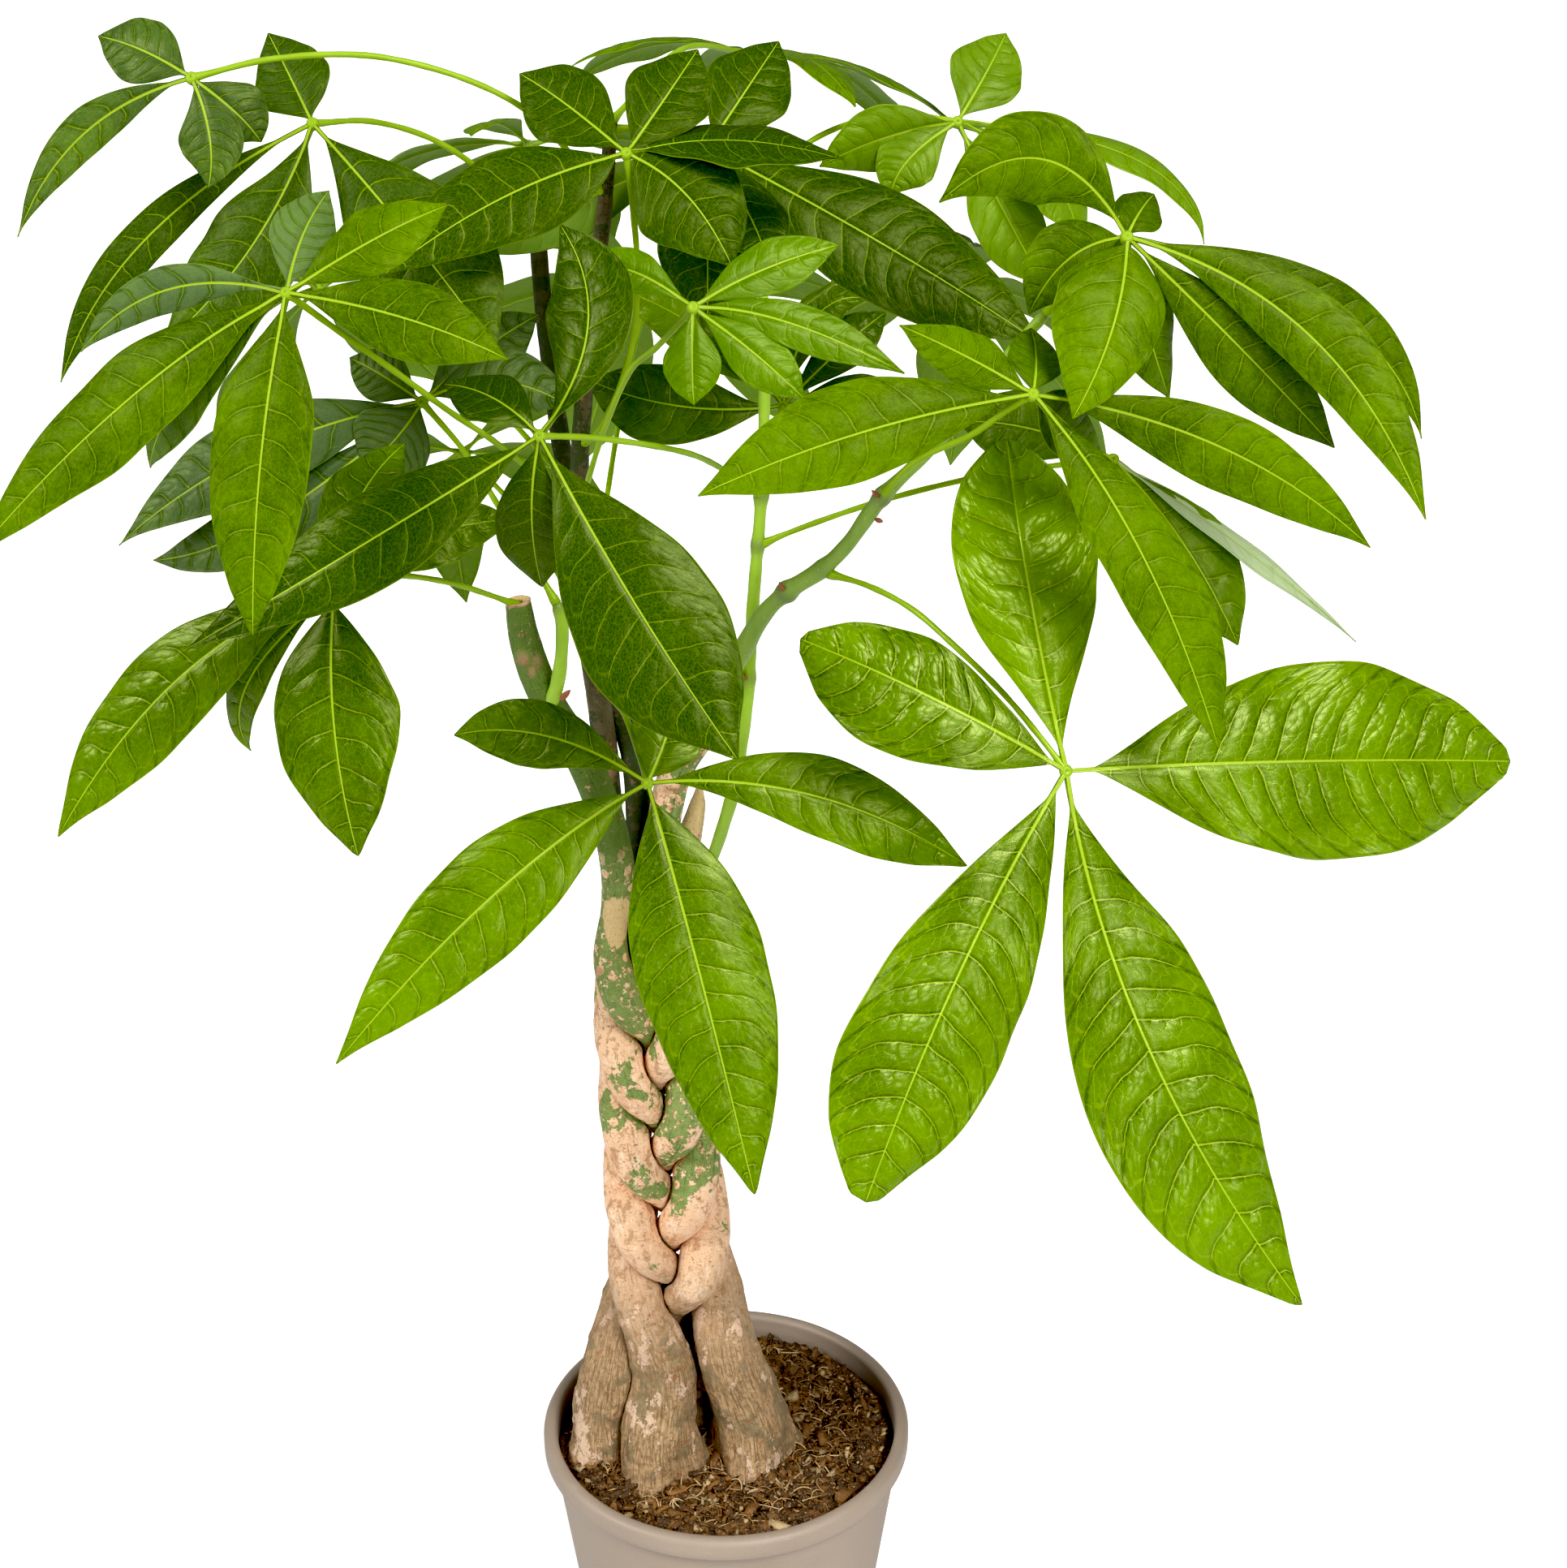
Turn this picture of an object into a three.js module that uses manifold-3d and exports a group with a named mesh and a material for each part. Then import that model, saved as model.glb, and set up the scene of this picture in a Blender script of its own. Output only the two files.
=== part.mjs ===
// A potted money tree: five braided trunks in a round nursery pot, with green shoots and hand-shaped
// leaves. Units are millimetres, +Z is up, and the origin is the middle of the pot's underside.
import * as THREE from "three";
import { mergeVertices } from "three/addons/utils/BufferGeometryUtils.js";
import Module from "manifold-3d";

const wasm = await Module();
wasm.setup();

// ---- driving dimensions ----
const POT_HEIGHT = 150;
const RIM_RADIUS = 85;
const BASE_RADIUS = 62;
const WALL = 2.4;
const FOOT_ROUNDING = 2.4;
const LIP_WIDTH = 6.5;
const LIP_HEIGHT = 11;
const LIP_ROUNDING = 2.4;
const LIP_SETBACK = 1.2;
const SOIL_TOP = 141;
const SOIL_HUMP = 1.5;
const SOIL_EDGE_DROP = 4;
const SOIL_SLOPE = 7;
const SOIL_LEVEL_RADIUS = 44;
const POT_SIDES = 40;
const DRAIN_RADIUS = 5;
const DRAIN_CIRCLE = 38;
const DRAIN_COUNT = 6;
const DRAIN_SIDES = 8;
const DRILL_LENGTH = 30;
const GAP = 0.35;

const BRAID_TOP = 405;
const BRAID_PERIOD = 210;
const BRAID_PHASE_HEIGHT = 241;
const TRUNK_SIDES = 8;
const TRUNK_LEVELS = 32;
const TRUNK_ROOT = 112;
const PRESS_GAP = 0.8;
// Pairs hold the value at the soil and the value at the braid's top.
const AXIS_ACROSS = [-18.8, -32.2];
const AXIS_DEPTH = [-2, -4];
const SWING_ACROSS = [19.4, 14.2];
const SWING_DEPTH = [14.5, 11];
const STRAND_RADIUS = [12.2, 9.2];
const FOOT_SWELL = 5;
const LOOSE_BELOW = 160;
const TIGHT_ABOVE = 245;
const BRAID_TURN = 45;
const STEM_START_DROP = 14;
const STEM_START_RADII = [5.2, 5.6];
const STEM_SIDES = 7;
const SHOOT_SIDES = 6;
const PETIOLE_SIDES = 5;

const BLADE_THICKNESS = 1.2;
const PETIOLE_RADIUS = 1.5;
const PETIOLE_FOOT = 1.7;
const HUB_RADIUS = 3;

// ---- the view that the plant's places are read in: a picture point and a depth give a place ----
const VIEW_EYE = new THREE.Vector3(26.7, -1027.7, 980.7);
const VIEW_PITCH = THREE.MathUtils.degToRad(26);
const VIEW_FOCAL = 3400;
const VIEW_CENTRE = [965.5, 966];

// Each trunk: its phase in the braid in degrees, where its foot stands beside the braid's axis, and its
// free stem above the braid, from the braid up, as picture points with a depth and a radius.
const TRUNKS = [
  {"name": "trunk_left", "phase": 72, "foot": [-33, -5], "stem": [
    [762, 1081, -11, 7.2], [747, 1005, -13, 7.2], [715, 930, -15, 7], [674, 862, -16, 6.8],
    [648, 795, -16, 6.2], [638, 742, -16, 5.2]]},
  {"name": "trunk_front", "phase": 144, "foot": [-11, -21], "stem": [
    [787, 1060, 3, 5.5], [787, 1000, 8, 5.5], [781, 930, 13, 5.4], [758, 860, 21, 5.2],
    [735, 790, 26, 4.6], [700, 600, 42, 4], [672, 400, 52, 3.6], [660, 250, 60, 3.2]]},
  {"name": "trunk_right", "phase": -72, "foot": [32, -12], "stem": [
    [815, 1060, -9, 7], [820, 1000, -9, 7], [836, 945, -7, 6.8], [864, 905, -4, 6.2],
    [880, 878, -2, 5.6]]},
  {"name": "trunk_back", "phase": 0, "foot": [-11, 21], "stem": [
    [757, 1060, 13, 5.2], [749, 960, 13, 5.2], [740, 876, 9, 5], [728, 803, 5, 4.6],
    [716, 700, 6, 4], [715, 560, 8, 3.6], [728, 400, 12, 3.2], [745, 250, 16, 3], [753, 150, 20, 2.6]]},
  {"name": "trunk_stub", "phase": -144, "foot": [17, 17], "stem": [
    [840, 1075, 6, 5.2], [850, 1030, 3, 5], [860, 990, 1, 3.4], [862, 968, 0, 1.2]]},
];

// Green shoots: the piece that each grows from, and its route as picture points with depth and radius.
const SHOOTS = [
  {"name": "shoot_middle", "from": "trunk_right", "route": [
    [836, 1100, -6, 2.8], [872, 1066, -12, 2.8], [893, 1012, -14, 2.7], [908, 955, -14, 2.6],
    [921, 860, -13, 2.5], [928, 745, -12, 2.5], [938, 611, -8, 2.4], [942, 480, 0, 2.3],
    [940, 360, 8, 2.2], [932, 262, 16, 2]]},
  {"name": "shoot_right", "from": "trunk_right", "route": [
    [878, 882, -3, 4], [893, 848, -8, 3.9], [911, 810, -28, 3.8], [941, 757, -34, 3.6],
    [970, 729, -40, 3.4], [1013, 701, -47, 3.2], [1044, 671, -53, 3], [1072, 632, -58, 2.9],
    [1088, 611, -61, 2.8], [1140, 560, -64, 2.5], [1190, 505, -62, 2.3], [1245, 435, -58, 2.1],
    [1290, 385, -54, 2]]},
  {"name": "shoot_left", "from": "trunk_left", "route": [
    [676, 872, -18, 2.8], [686, 846, -24, 2.8], [692, 805, -28, 2.7], [692, 765, -30, 2.6],
    [686, 742, -30, 2.4]]},
];

// Leaves read in the view. "hub" is where the leaflets meet; the blades lie near a plane through it that
// leans back by "lean" per unit of height and "swing" per unit to the right; "droop" bends the tips.
// A leaflet's "tip" and "via" are picture points, its "width" a real size, "turn" rolls it on its midrib,
// "left" gives its left half another outline, and "skew" makes its right half the wider one.
const VIEW_LEAVES = [
  {"name": "leaf_front_right", "hub": [1314, 950, -128], "lean": 0.5, "swing": 0.2, "droop": 18,
   "from": "shoot_right", "petiole": [[1021, 707, -48], [1070, 722, -62], [1123, 750, -78], [1170, 790, -92],
     [1236, 854, -108], [1284, 911, -122]], "leaflets": [
    {"tip": [1241, 540], "via": [1268, 724], "width": 54, "shape": "blunt", "skew": 0.06},
    {"tip": [986, 787], "via": [1154, 862], "width": 44, "shape": "blunt", "left": "full", "skew": -0.14},
    {"tip": [1067, 1482], "via": [1182, 1200], "width": 58, "shape": "club", "left": "full"},
    {"tip": [1605, 1608], "via": [1414, 1288], "width": 63, "shape": "late", "left": "oval"},
    {"tip": [1862, 938], "via": [1595, 938], "width": 74, "shape": "paddle"}]},
  {"name": "leaf_front_low", "hub": [798, 965, -96], "lean": 0.52, "swing": 0.0, "droop": 15,
   "from": "trunk_back", "petiole": [[730, 806, 3], [745, 850, -22], [768, 878, -50], [784, 920, -76]],
   "leaflets": [
    {"tip": [559, 906], "via": [674, 907], "width": 26, "shape": "broad"},
    {"tip": [414, 1311], "via": [608, 1103], "width": 41, "shape": "oval"},
    {"tip": [930, 1472], "via": [864, 1206], "width": 50, "shape": "early", "skew": -0.05},
    {"tip": [1192, 1067], "via": [1002, 980], "width": 31, "shape": "late", "left": "oval"},
    {"tip": [850, 815], "via": [824, 900], "width": 28, "shape": "lance"}]},
  {"name": "leaf_left_centre", "hub": [665, 537, -112], "lean": 0.58, "swing": -0.12, "droop": 14,
   "from": "shoot_middle", "petiole": [[937, 610, -8], [880, 572, -40], [846, 558, -58], [784, 546, -80],
     [723, 539, -98]], "leaflets": [
    {"tip": [690, 277], "via": [724, 402], "width": 33, "shape": "broad", "turn": 12},
    {"tip": [547, 473], "via": [608, 490], "width": 24, "shape": "oval", "turn": -30},
    {"tip": [224, 803], "via": [452, 668], "width": 34, "shape": "lance"},
    {"tip": [909, 936], "via": [779, 738], "width": 54, "shape": "broad"},
    {"tip": [668, 724], "via": [655, 636], "width": 28, "shape": "broad", "ahead": 34}]},
  {"name": "leaf_right_centre", "hub": [1273, 486, -118], "lean": 0.6, "swing": 0.24, "droop": 13,
   "from": "shoot_right",
   "petiole": [[1086, 611, -61], [1131, 567, -80], [1200, 534, -98], [1240, 506, -110]], "leaflets": [
    {"tip": [860, 611], "via": [1064, 532], "width": 34, "shape": "oval", "skew": 0.08},
    {"tip": [1689, 675], "via": [1507, 552], "width": 27, "shape": "oval", "turn": -20, "skew": 0.08},
    {"tip": [1502, 922], "via": [1404, 676], "width": 31, "shape": "early", "left": "late",
     "skew": -0.08},
    {"tip": [1108, 400], "via": [1195, 441], "width": 20, "shape": "oval", "ahead": 10},
    {"tip": [1271, 403], "via": [1277, 442], "width": 20, "shape": "oval", "ahead": 14},
    {"tip": [1362, 570], "via": [1312, 520], "width": 22, "shape": "oval", "ahead": 26}]},
  {"name": "leaf_right_upper", "hub": [1389, 292, -92], "lean": 0.8, "swing": 0.2, "droop": 12,
   "from": "shoot_right", "petiole": [[1289, 386, -54], [1320, 352, -66], [1356, 318, -82]], "leaflets": [
    {"tip": [1322, 516], "via": [1372, 402], "width": 39, "shape": "base", "skew": 0.15},
    {"tip": [1757, 640], "via": [1615, 414], "width": 27, "shape": "oval", "turn": -20, "skew": -0.12},
    {"tip": [1158, 250], "via": [1284, 196], "width": 32, "shape": "oval", "turn": 35},
    {"tip": [1423, 238], "via": [1404, 262], "width": 18, "shape": "oval"},
    {"tip": [1645, 552], "via": [1520, 420], "width": 27, "shape": "broad", "turn": -25, "ahead": 34},
    {"tip": [1752, 541], "via": [1646, 388], "width": 22, "shape": "lance", "turn": -20, "ahead": 24},
    {"tip": [1268, 388], "via": [1318, 318], "width": 28, "shape": "oval", "ahead": 30},
    {"tip": [1442, 492], "via": [1412, 395], "width": 24, "shape": "oval", "ahead": 44}]},
  {"name": "leaf_left_upper", "hub": [353, 361, -118], "lean": 0.66, "swing": -0.26, "droop": 14,
   "from": "trunk_back", "petiole": [[717, 640, 6], [682, 603, -18], [612, 546, -52], [551, 505, -72],
     [490, 460, -90], [424, 413, -106]], "leaflets": [
    {"tip": [406, 234], "via": [373, 290], "width": 22, "shape": "oval", "turn": -30},
    {"tip": [552, 252], "via": [458, 296], "width": 24, "shape": "oval"},
    {"tip": [626, 443], "via": [496, 391], "width": 27, "shape": "oval"},
    {"tip": [311, 783], "via": [321, 566], "width": 37, "shape": "early", "skew": 0.06},
    {"tip": [-36, 690], "via": [160, 490], "width": 33, "shape": "oval"},
    {"tip": [99, 434], "via": [206, 357], "width": 16, "shape": "oval", "turn": 30},
    {"tip": [184, 577], "via": [228, 480], "width": 22, "shape": "oval", "ahead": 40}]},
  {"name": "leaf_young", "hub": [854, 379, -72], "lean": 0.6, "swing": 0.05, "droop": 4,
   "from": "trunk_back", "petiole": [[716, 622, 7], [727, 584, -10], [742, 536, -22], [764, 481, -36],
     [780, 452, -44], [809, 428, -56]], "leaflets": [
    {"tip": [729, 328], "via": [785, 336], "width": 17, "shape": "broad"},
    {"tip": [1035, 301], "via": [936, 334], "width": 20, "shape": "broad"},
    {"tip": [1115, 460], "via": [968, 396], "width": 17, "shape": "broad"},
    {"tip": [992, 492], "via": [926, 432], "width": 20, "shape": "broad"},
    {"tip": [855, 499], "via": [853, 440], "width": 21, "shape": "broad"}]},
  {"name": "leaf_left_low", "hub": [412, 728, -86], "lean": 0.55, "swing": -0.22, "droop": 14,
   "from": "trunk_left", "petiole": [[638, 746, -16], [606, 734, -26], [545, 716, -46], [470, 710, -70]],
   "leaflets": [
    {"tip": [441, 1055], "via": [411, 890], "width": 48, "shape": "early"},
    {"tip": [71, 1031], "via": [224, 832], "width": 36, "shape": "broad"},
    {"tip": [309, 926], "via": [306, 840], "width": 15, "shape": "oval", "ahead": 30},
    {"tip": [634, 642], "via": [530, 660], "width": 24, "shape": "oval", "ahead": 10},
    {"tip": [500, 545], "via": [440, 620], "width": 30, "shape": "oval", "ahead": 24}]},
  {"name": "leaf_left_middle", "hub": [520, 495, 12], "lean": 0.6, "swing": -0.1, "droop": 8,
   "from": "shoot_left", "petiole": [[686, 744, -30], [650, 682, -22], [612, 620, -12], [575, 560, 0]],
   "leaflets": [
    {"tip": [446, 582], "via": [490, 538], "width": 34, "shape": "broad", "turn": 30},
    {"tip": [146, 672], "via": [310, 560], "width": 34, "shape": "lance"},
    {"tip": [188, 690], "via": [330, 640], "width": 26, "shape": "oval", "ahead": 22},
    {"tip": [700, 500], "via": [610, 470], "width": 28, "shape": "broad", "ahead": 6},
    {"tip": [664, 387], "via": [594, 432], "width": 27, "shape": "oval", "ahead": 10},
    {"tip": [430, 440], "via": [470, 462], "width": 22, "shape": "oval"}]},
  {"name": "leaf_left_top", "hub": [385, 152, 6], "lean": 0.7, "swing": -0.15, "droop": 8,
   "from": "trunk_front", "petiole": [[662, 280, 58], [610, 225, 52], [540, 175, 42], [460, 150, 26]],
   "leaflets": [
    {"tip": [75, 471], "via": [180, 294], "width": 17, "shape": "oval", "turn": 25},
    {"tip": [196, 428], "via": [308, 306], "width": 40, "shape": "oval"},
    {"tip": [612, 432], "via": [503, 289], "width": 50, "shape": "broad"},
    {"tip": [330, 40], "via": [360, 100], "width": 30, "shape": "oval"}]},
  {"name": "leaf_far_left", "hub": [236, 96, -14], "lean": 0.7, "swing": -0.15, "droop": 8,
   "from": "trunk_back", "petiole": [[746, 240, 16], [640, 130, 6], [480, 72, -2], [340, 72, -8]],
   "leaflets": [
    {"tip": [22, 292], "via": [102, 166], "width": 16, "shape": "lance", "turn": 30},
    {"tip": [256, 232], "via": [258, 168], "width": 24, "shape": "oval"},
    {"tip": [120, 44], "via": [176, 62], "width": 26, "shape": "oval"},
    {"tip": [322, 176], "via": [290, 138], "width": 24, "shape": "oval", "ahead": 12}]},
  {"name": "leaf_top_centre", "hub": [772, 189, -28], "lean": 0.75, "swing": 0, "droop": 6,
   "from": "trunk_back", "petiole": [[716, 548, 8], [736, 532, 0], [766, 470, -8], [783, 400, -14],
     [785, 320, -20], [779, 250, -26]], "leaflets": [
    {"tip": [473, 338], "via": [622, 242], "width": 36, "shape": "oval", "left": "base"},
    {"tip": [902, 328], "via": [846, 240], "width": 42, "shape": "early"},
    {"tip": [640, 90], "via": [700, 130], "width": 32, "shape": "oval"},
    {"tip": [860, 60], "via": [820, 120], "width": 32, "shape": "oval"},
    {"tip": [1040, 196], "via": [900, 172], "width": 34, "shape": "oval", "turn": 40}]},
  {"name": "leaf_top_right", "hub": [872, 182, 30], "lean": 0.75, "swing": 0.1, "droop": 8,
   "from": "trunk_back", "petiole": [[752, 160, 20], [790, 158, 22], [830, 168, 26]], "leaflets": [
    {"tip": [1285, 424], "via": [1084, 298], "width": 46, "shape": "oval"},
    {"tip": [946, 322], "via": [920, 258], "width": 28, "shape": "broad", "ahead": -34},
    {"tip": [598, 314], "via": [706, 252], "width": 26, "shape": "oval", "ahead": 30},
    {"tip": [872, 395], "via": [872, 290], "width": 38, "shape": "broad", "ahead": 10},
    {"tip": [960, 50], "via": [920, 110], "width": 34, "shape": "oval"}]},
  {"name": "leaf_right_top", "hub": [1180, 150, 62], "lean": 0.75, "swing": 0.15, "droop": 8,
   "from": "shoot_middle", "petiole": [[932, 268, 16], [942, 236, 44], [990, 180, 62], [1060, 148, 66],
     [1120, 142, 65]], "leaflets": [
    {"tip": [1485, 301], "via": [1400, 196], "width": 20, "shape": "lance", "turn": 35},
    {"tip": [1330, 304], "via": [1290, 214], "width": 34, "shape": "oval", "turn": 30},
    {"tip": [1286, 350], "via": [1236, 258], "width": 30, "shape": "broad", "ahead": 24},
    {"tip": [1098, 243], "via": [1120, 196], "width": 24, "shape": "oval"},
    {"tip": [1010, 206], "via": [1090, 170], "width": 26, "shape": "oval", "turn": 40},
    {"tip": [1240, 40], "via": [1215, 90], "width": 30, "shape": "oval"}]},
  {"name": "leaf_middle_back", "hub": [965, 500, 62], "lean": 0.6, "swing": 0.05, "droop": 8,
   "from": "shoot_middle", "petiole": [[939, 590, -7], [946, 560, 20], [956, 528, 44]], "leaflets": [
    {"tip": [722, 466], "via": [836, 500], "width": 34, "shape": "broad"},
    {"tip": [1092, 384], "via": [1036, 430], "width": 20, "shape": "broad"},
    {"tip": [1072, 368], "via": [1004, 392], "width": 18, "shape": "oval", "ahead": -12},
    {"tip": [880, 330], "via": [912, 410], "width": 30, "shape": "oval"},
    {"tip": [752, 352], "via": [866, 408], "width": 26, "shape": "oval", "ahead": 14},
    {"tip": [1150, 520], "via": [1060, 500], "width": 28, "shape": "oval"}]},
  {"name": "leaf_right_back", "hub": [1372, 566, -10], "lean": 0.55, "swing": 0.2, "droop": 8,
   "from": "shoot_middle", "petiole": [[936, 672, -10], [968, 658, -12], [1070, 622, -16], [1190, 591, -16],
     [1290, 575, -14]], "leaflets": [
    {"tip": [1672, 790], "via": [1524, 668], "width": 17, "shape": "lance", "turn": 45},
    {"tip": [1526, 795], "via": [1460, 672], "width": 36, "shape": "broad"},
    {"tip": [1180, 520], "via": [1270, 528], "width": 30, "shape": "broad", "ahead": 24}]},
];

// Leaves of the far side and the top, set round the crown: hub, the way they face (degrees round from the
// viewer's side, to the right), how far they tip up, the spread of their leaflets and their size.
const CROWN_LEAVES = [
  {"name": "leaf_back_left", "hub": [-172, 122, 655], "facing": 222, "tip_up": 42, "spin": 10,
   "reach": 112, "width": 36, "count": 5, "from": "trunk_front", "at": 0.72},
  {"name": "leaf_back_right", "hub": [92, 150, 650], "facing": 146, "tip_up": 40, "spin": -15,
   "reach": 116, "width": 38, "count": 6, "from": "shoot_middle", "at": 0.84},
  {"name": "leaf_back_middle", "hub": [-34, 205, 634], "facing": 178, "tip_up": 38, "spin": 20,
   "reach": 122, "width": 40, "count": 5, "from": "trunk_front", "at": 0.6},
  {"name": "leaf_back_high", "hub": [-84, 168, 706], "facing": 195, "tip_up": 58, "spin": 30,
   "reach": 100, "width": 34, "count": 5, "from": "trunk_front", "at": 0.97},
  {"name": "leaf_back_low", "hub": [-112, 104, 588], "facing": 215, "tip_up": 30, "spin": -8,
   "reach": 84, "width": 28, "count": 5, "from": "trunk_front", "at": 0.5},
  {"name": "leaf_crown", "hub": [12, 112, 756], "facing": 150, "tip_up": 74, "spin": 10,
   "reach": 104, "width": 34, "count": 6, "from": "trunk_back", "at": 1},
];

// A leaflet's outline: how far along it is widest, how slowly it opens from its stalk, and how slowly it
// closes to its tip.
const SHAPES = {
  "oval": [0.5, 1.15, 0.95],
  "lance": [0.46, 1.1, 1.2],
  "broad": [0.58, 1.25, 0.9],
  "blunt": [0.6, 1.15, 0.55],
  "paddle": [0.56, 1.15, 0.6],
  "late": [0.66, 1.15, 0.8],
  "club": [0.7, 1.2, 0.5],
  "full": [0.58, 0.9, 0.55],
  "early": [0.44, 0.92, 0.8],
  "base": [0.36, 0.65, 0.85],
};
const STALK_SHARE = 0.05;
const NARROWEST = 0.9;
const CUP = 0.12;
const BLADE_STATIONS = [0, 0.2, 0.42, 0.64, 0.86, 1];

// How the leaflets of a crown leaf share its circle, shorten and narrow towards its stalk, and droop.
const CROWN_SPREAD = 300;
const CROWN_SHORTER = 0.18;
const CROWN_NARROWER = 0.2;
const CROWN_DROOP = 0.22;
const CROWN_VIA = 0.52;
const CROWN_BEND = 14;

const LOOKS = {
  pot: { color: 0x8d8077, roughness: 0.6 },
  soil: { color: 0x3b2a1c, roughness: 1 },
  trunk: { color: 0xb08a6c, roughness: 0.8 },
  shoot: { color: 0x7da83a, roughness: 0.5 },
  leaf: { color: 0x5f9a1c, roughness: 0.45 },
};

// ---- places ----
function sightLine([u, v]) {
  const across = u - VIEW_CENTRE[0];
  const down = v - VIEW_CENTRE[1];
  const cos = Math.cos(VIEW_PITCH);
  const sin = Math.sin(VIEW_PITCH);
  return new THREE.Vector3(across, VIEW_FOCAL * cos - down * sin, -VIEW_FOCAL * sin - down * cos);
}

// The place at depth y that the view shows at a picture point.
function seen([u, v, y]) {
  const line = sightLine([u, v]);
  return VIEW_EYE.clone().addScaledVector(line, (y - VIEW_EYE.y) / line.y);
}

// The place on a leaf's leaning plane that the view shows at a picture point.
function seenOnLeaf(point, hub, leaf, behind) {
  const line = sightLine(point);
  const rest = hub.y - VIEW_EYE.y + leaf.swing * (VIEW_EYE.x - hub.x) +
    leaf.lean * (VIEW_EYE.z - hub.z) + behind;
  return VIEW_EYE.clone().addScaledVector(line, rest / (line.y - leaf.swing * line.x - leaf.lean * line.z));
}

// ---- solids ----
function toSolid(geometry) {
  const bare = geometry.clone();
  bare.deleteAttribute("normal");
  bare.deleteAttribute("uv");
  const merged = mergeVertices(bare, 1e-4);
  return new wasm.Manifold(new wasm.Mesh({
    numProp: 3,
    vertProperties: merged.getAttribute("position").array,
    triVerts: new Uint32Array(merged.index.array),
  }));
}

function toMesh(solid, name, look) {
  const mesh = solid.getMesh();
  const geometry = new THREE.BufferGeometry();
  geometry.setAttribute("position", new THREE.BufferAttribute(new Float32Array(mesh.vertProperties), 3));
  geometry.setIndex(new THREE.BufferAttribute(new Uint32Array(mesh.triVerts), 1));
  geometry.computeVertexNormals();
  const made = new THREE.Mesh(geometry, new THREE.MeshStandardMaterial(look));
  made.name = name;
  return made;
}

// A closed body through rings of equally many points, with flat ends.
function loft(rings) {
  const sides = rings[0].length;
  const corners = rings.flatMap((ring) => ring.flatMap((p) => [p.x, p.y, p.z]));
  const faces = [];
  for (let ring = 0; ring + 1 < rings.length; ring++) {
    for (let side = 0; side < sides; side++) {
      const a = ring * sides + side;
      const b = ring * sides + (side + 1) % sides;
      faces.push(a, b, b + sides, a, b + sides, a + sides);
    }
  }
  const last = (rings.length - 1) * sides;
  for (let side = 1; side + 1 < sides; side++) {
    faces.push(0, side + 1, side, last, last + side, last + side + 1);
  }
  const geometry = new THREE.BufferGeometry();
  geometry.setAttribute("position", new THREE.Float32BufferAttribute(corners, 3));
  geometry.setIndex(faces);
  return toSolid(geometry);
}

// A round rod along points, with a radius at each, smoothed by a curve.
function rod(points, radii, sides, steps) {
  const curve = new THREE.CatmullRomCurve3(points, false, "centripetal");
  const rings = [];
  let across = new THREE.Vector3(1, 0, 0);
  for (let step = 0; step <= steps; step++) {
    const t = step / steps;
    const middle = curve.getPoint(t);
    const along = curve.getTangent(t);
    across = across.clone().addScaledVector(along, -across.dot(along)).normalize();
    const other = new THREE.Vector3().crossVectors(along, across);
    const place = t * (points.length - 1);
    const from = Math.min(Math.floor(place), points.length - 2);
    const radius = THREE.MathUtils.lerp(radii[from], radii[from + 1], place - from);
    const ring = [];
    for (let side = 0; side < sides; side++) {
      const angle = 2 * Math.PI * side / sides;
      ring.push(middle.clone().addScaledVector(across, radius * Math.cos(angle))
        .addScaledVector(other, radius * Math.sin(angle)));
    }
    rings.push(ring);
  }
  return loft(rings);
}

function largest(solid) {
  const bodies = solid.decompose();
  return bodies.reduce((best, body) => (body.volume() > best.volume() ? body : best));
}

// ---- pot and soil ----
function potSolid() {
  const inner = RIM_RADIUS - LIP_WIDTH;
  const lipBottom = POT_HEIGHT - LIP_HEIGHT;
  const outline = [
    [0, 0],
    [BASE_RADIUS - FOOT_ROUNDING, 0],
    [BASE_RADIUS, FOOT_ROUNDING],
    [inner + WALL, lipBottom - LIP_ROUNDING],
    [RIM_RADIUS - LIP_SETBACK, lipBottom],
    [RIM_RADIUS, lipBottom + LIP_ROUNDING],
    [RIM_RADIUS, POT_HEIGHT - LIP_ROUNDING],
    [RIM_RADIUS - LIP_ROUNDING, POT_HEIGHT],
    [inner + LIP_SETBACK, POT_HEIGHT],
    [inner, POT_HEIGHT - LIP_SETBACK],
    [inner, lipBottom - LIP_ROUNDING],
    [BASE_RADIUS - WALL, WALL + FOOT_ROUNDING],
    [BASE_RADIUS - WALL - FOOT_ROUNDING, WALL],
    [0, WALL],
  ].map(([r, z]) => new THREE.Vector2(r, z));
  let pot = toSolid(new THREE.LatheGeometry(outline, POT_SIDES).rotateX(Math.PI / 2));
  for (let hole = 0; hole < DRAIN_COUNT; hole++) {
    const angle = 2 * Math.PI * hole / DRAIN_COUNT;
    const drill = new THREE.CylinderGeometry(DRAIN_RADIUS, DRAIN_RADIUS, DRILL_LENGTH, DRAIN_SIDES)
      .rotateX(Math.PI / 2)
      .translate(DRAIN_CIRCLE * Math.cos(angle), DRAIN_CIRCLE * Math.sin(angle), 0);
    pot = pot.subtract(toSolid(drill));
  }
  return pot;
}

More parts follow.
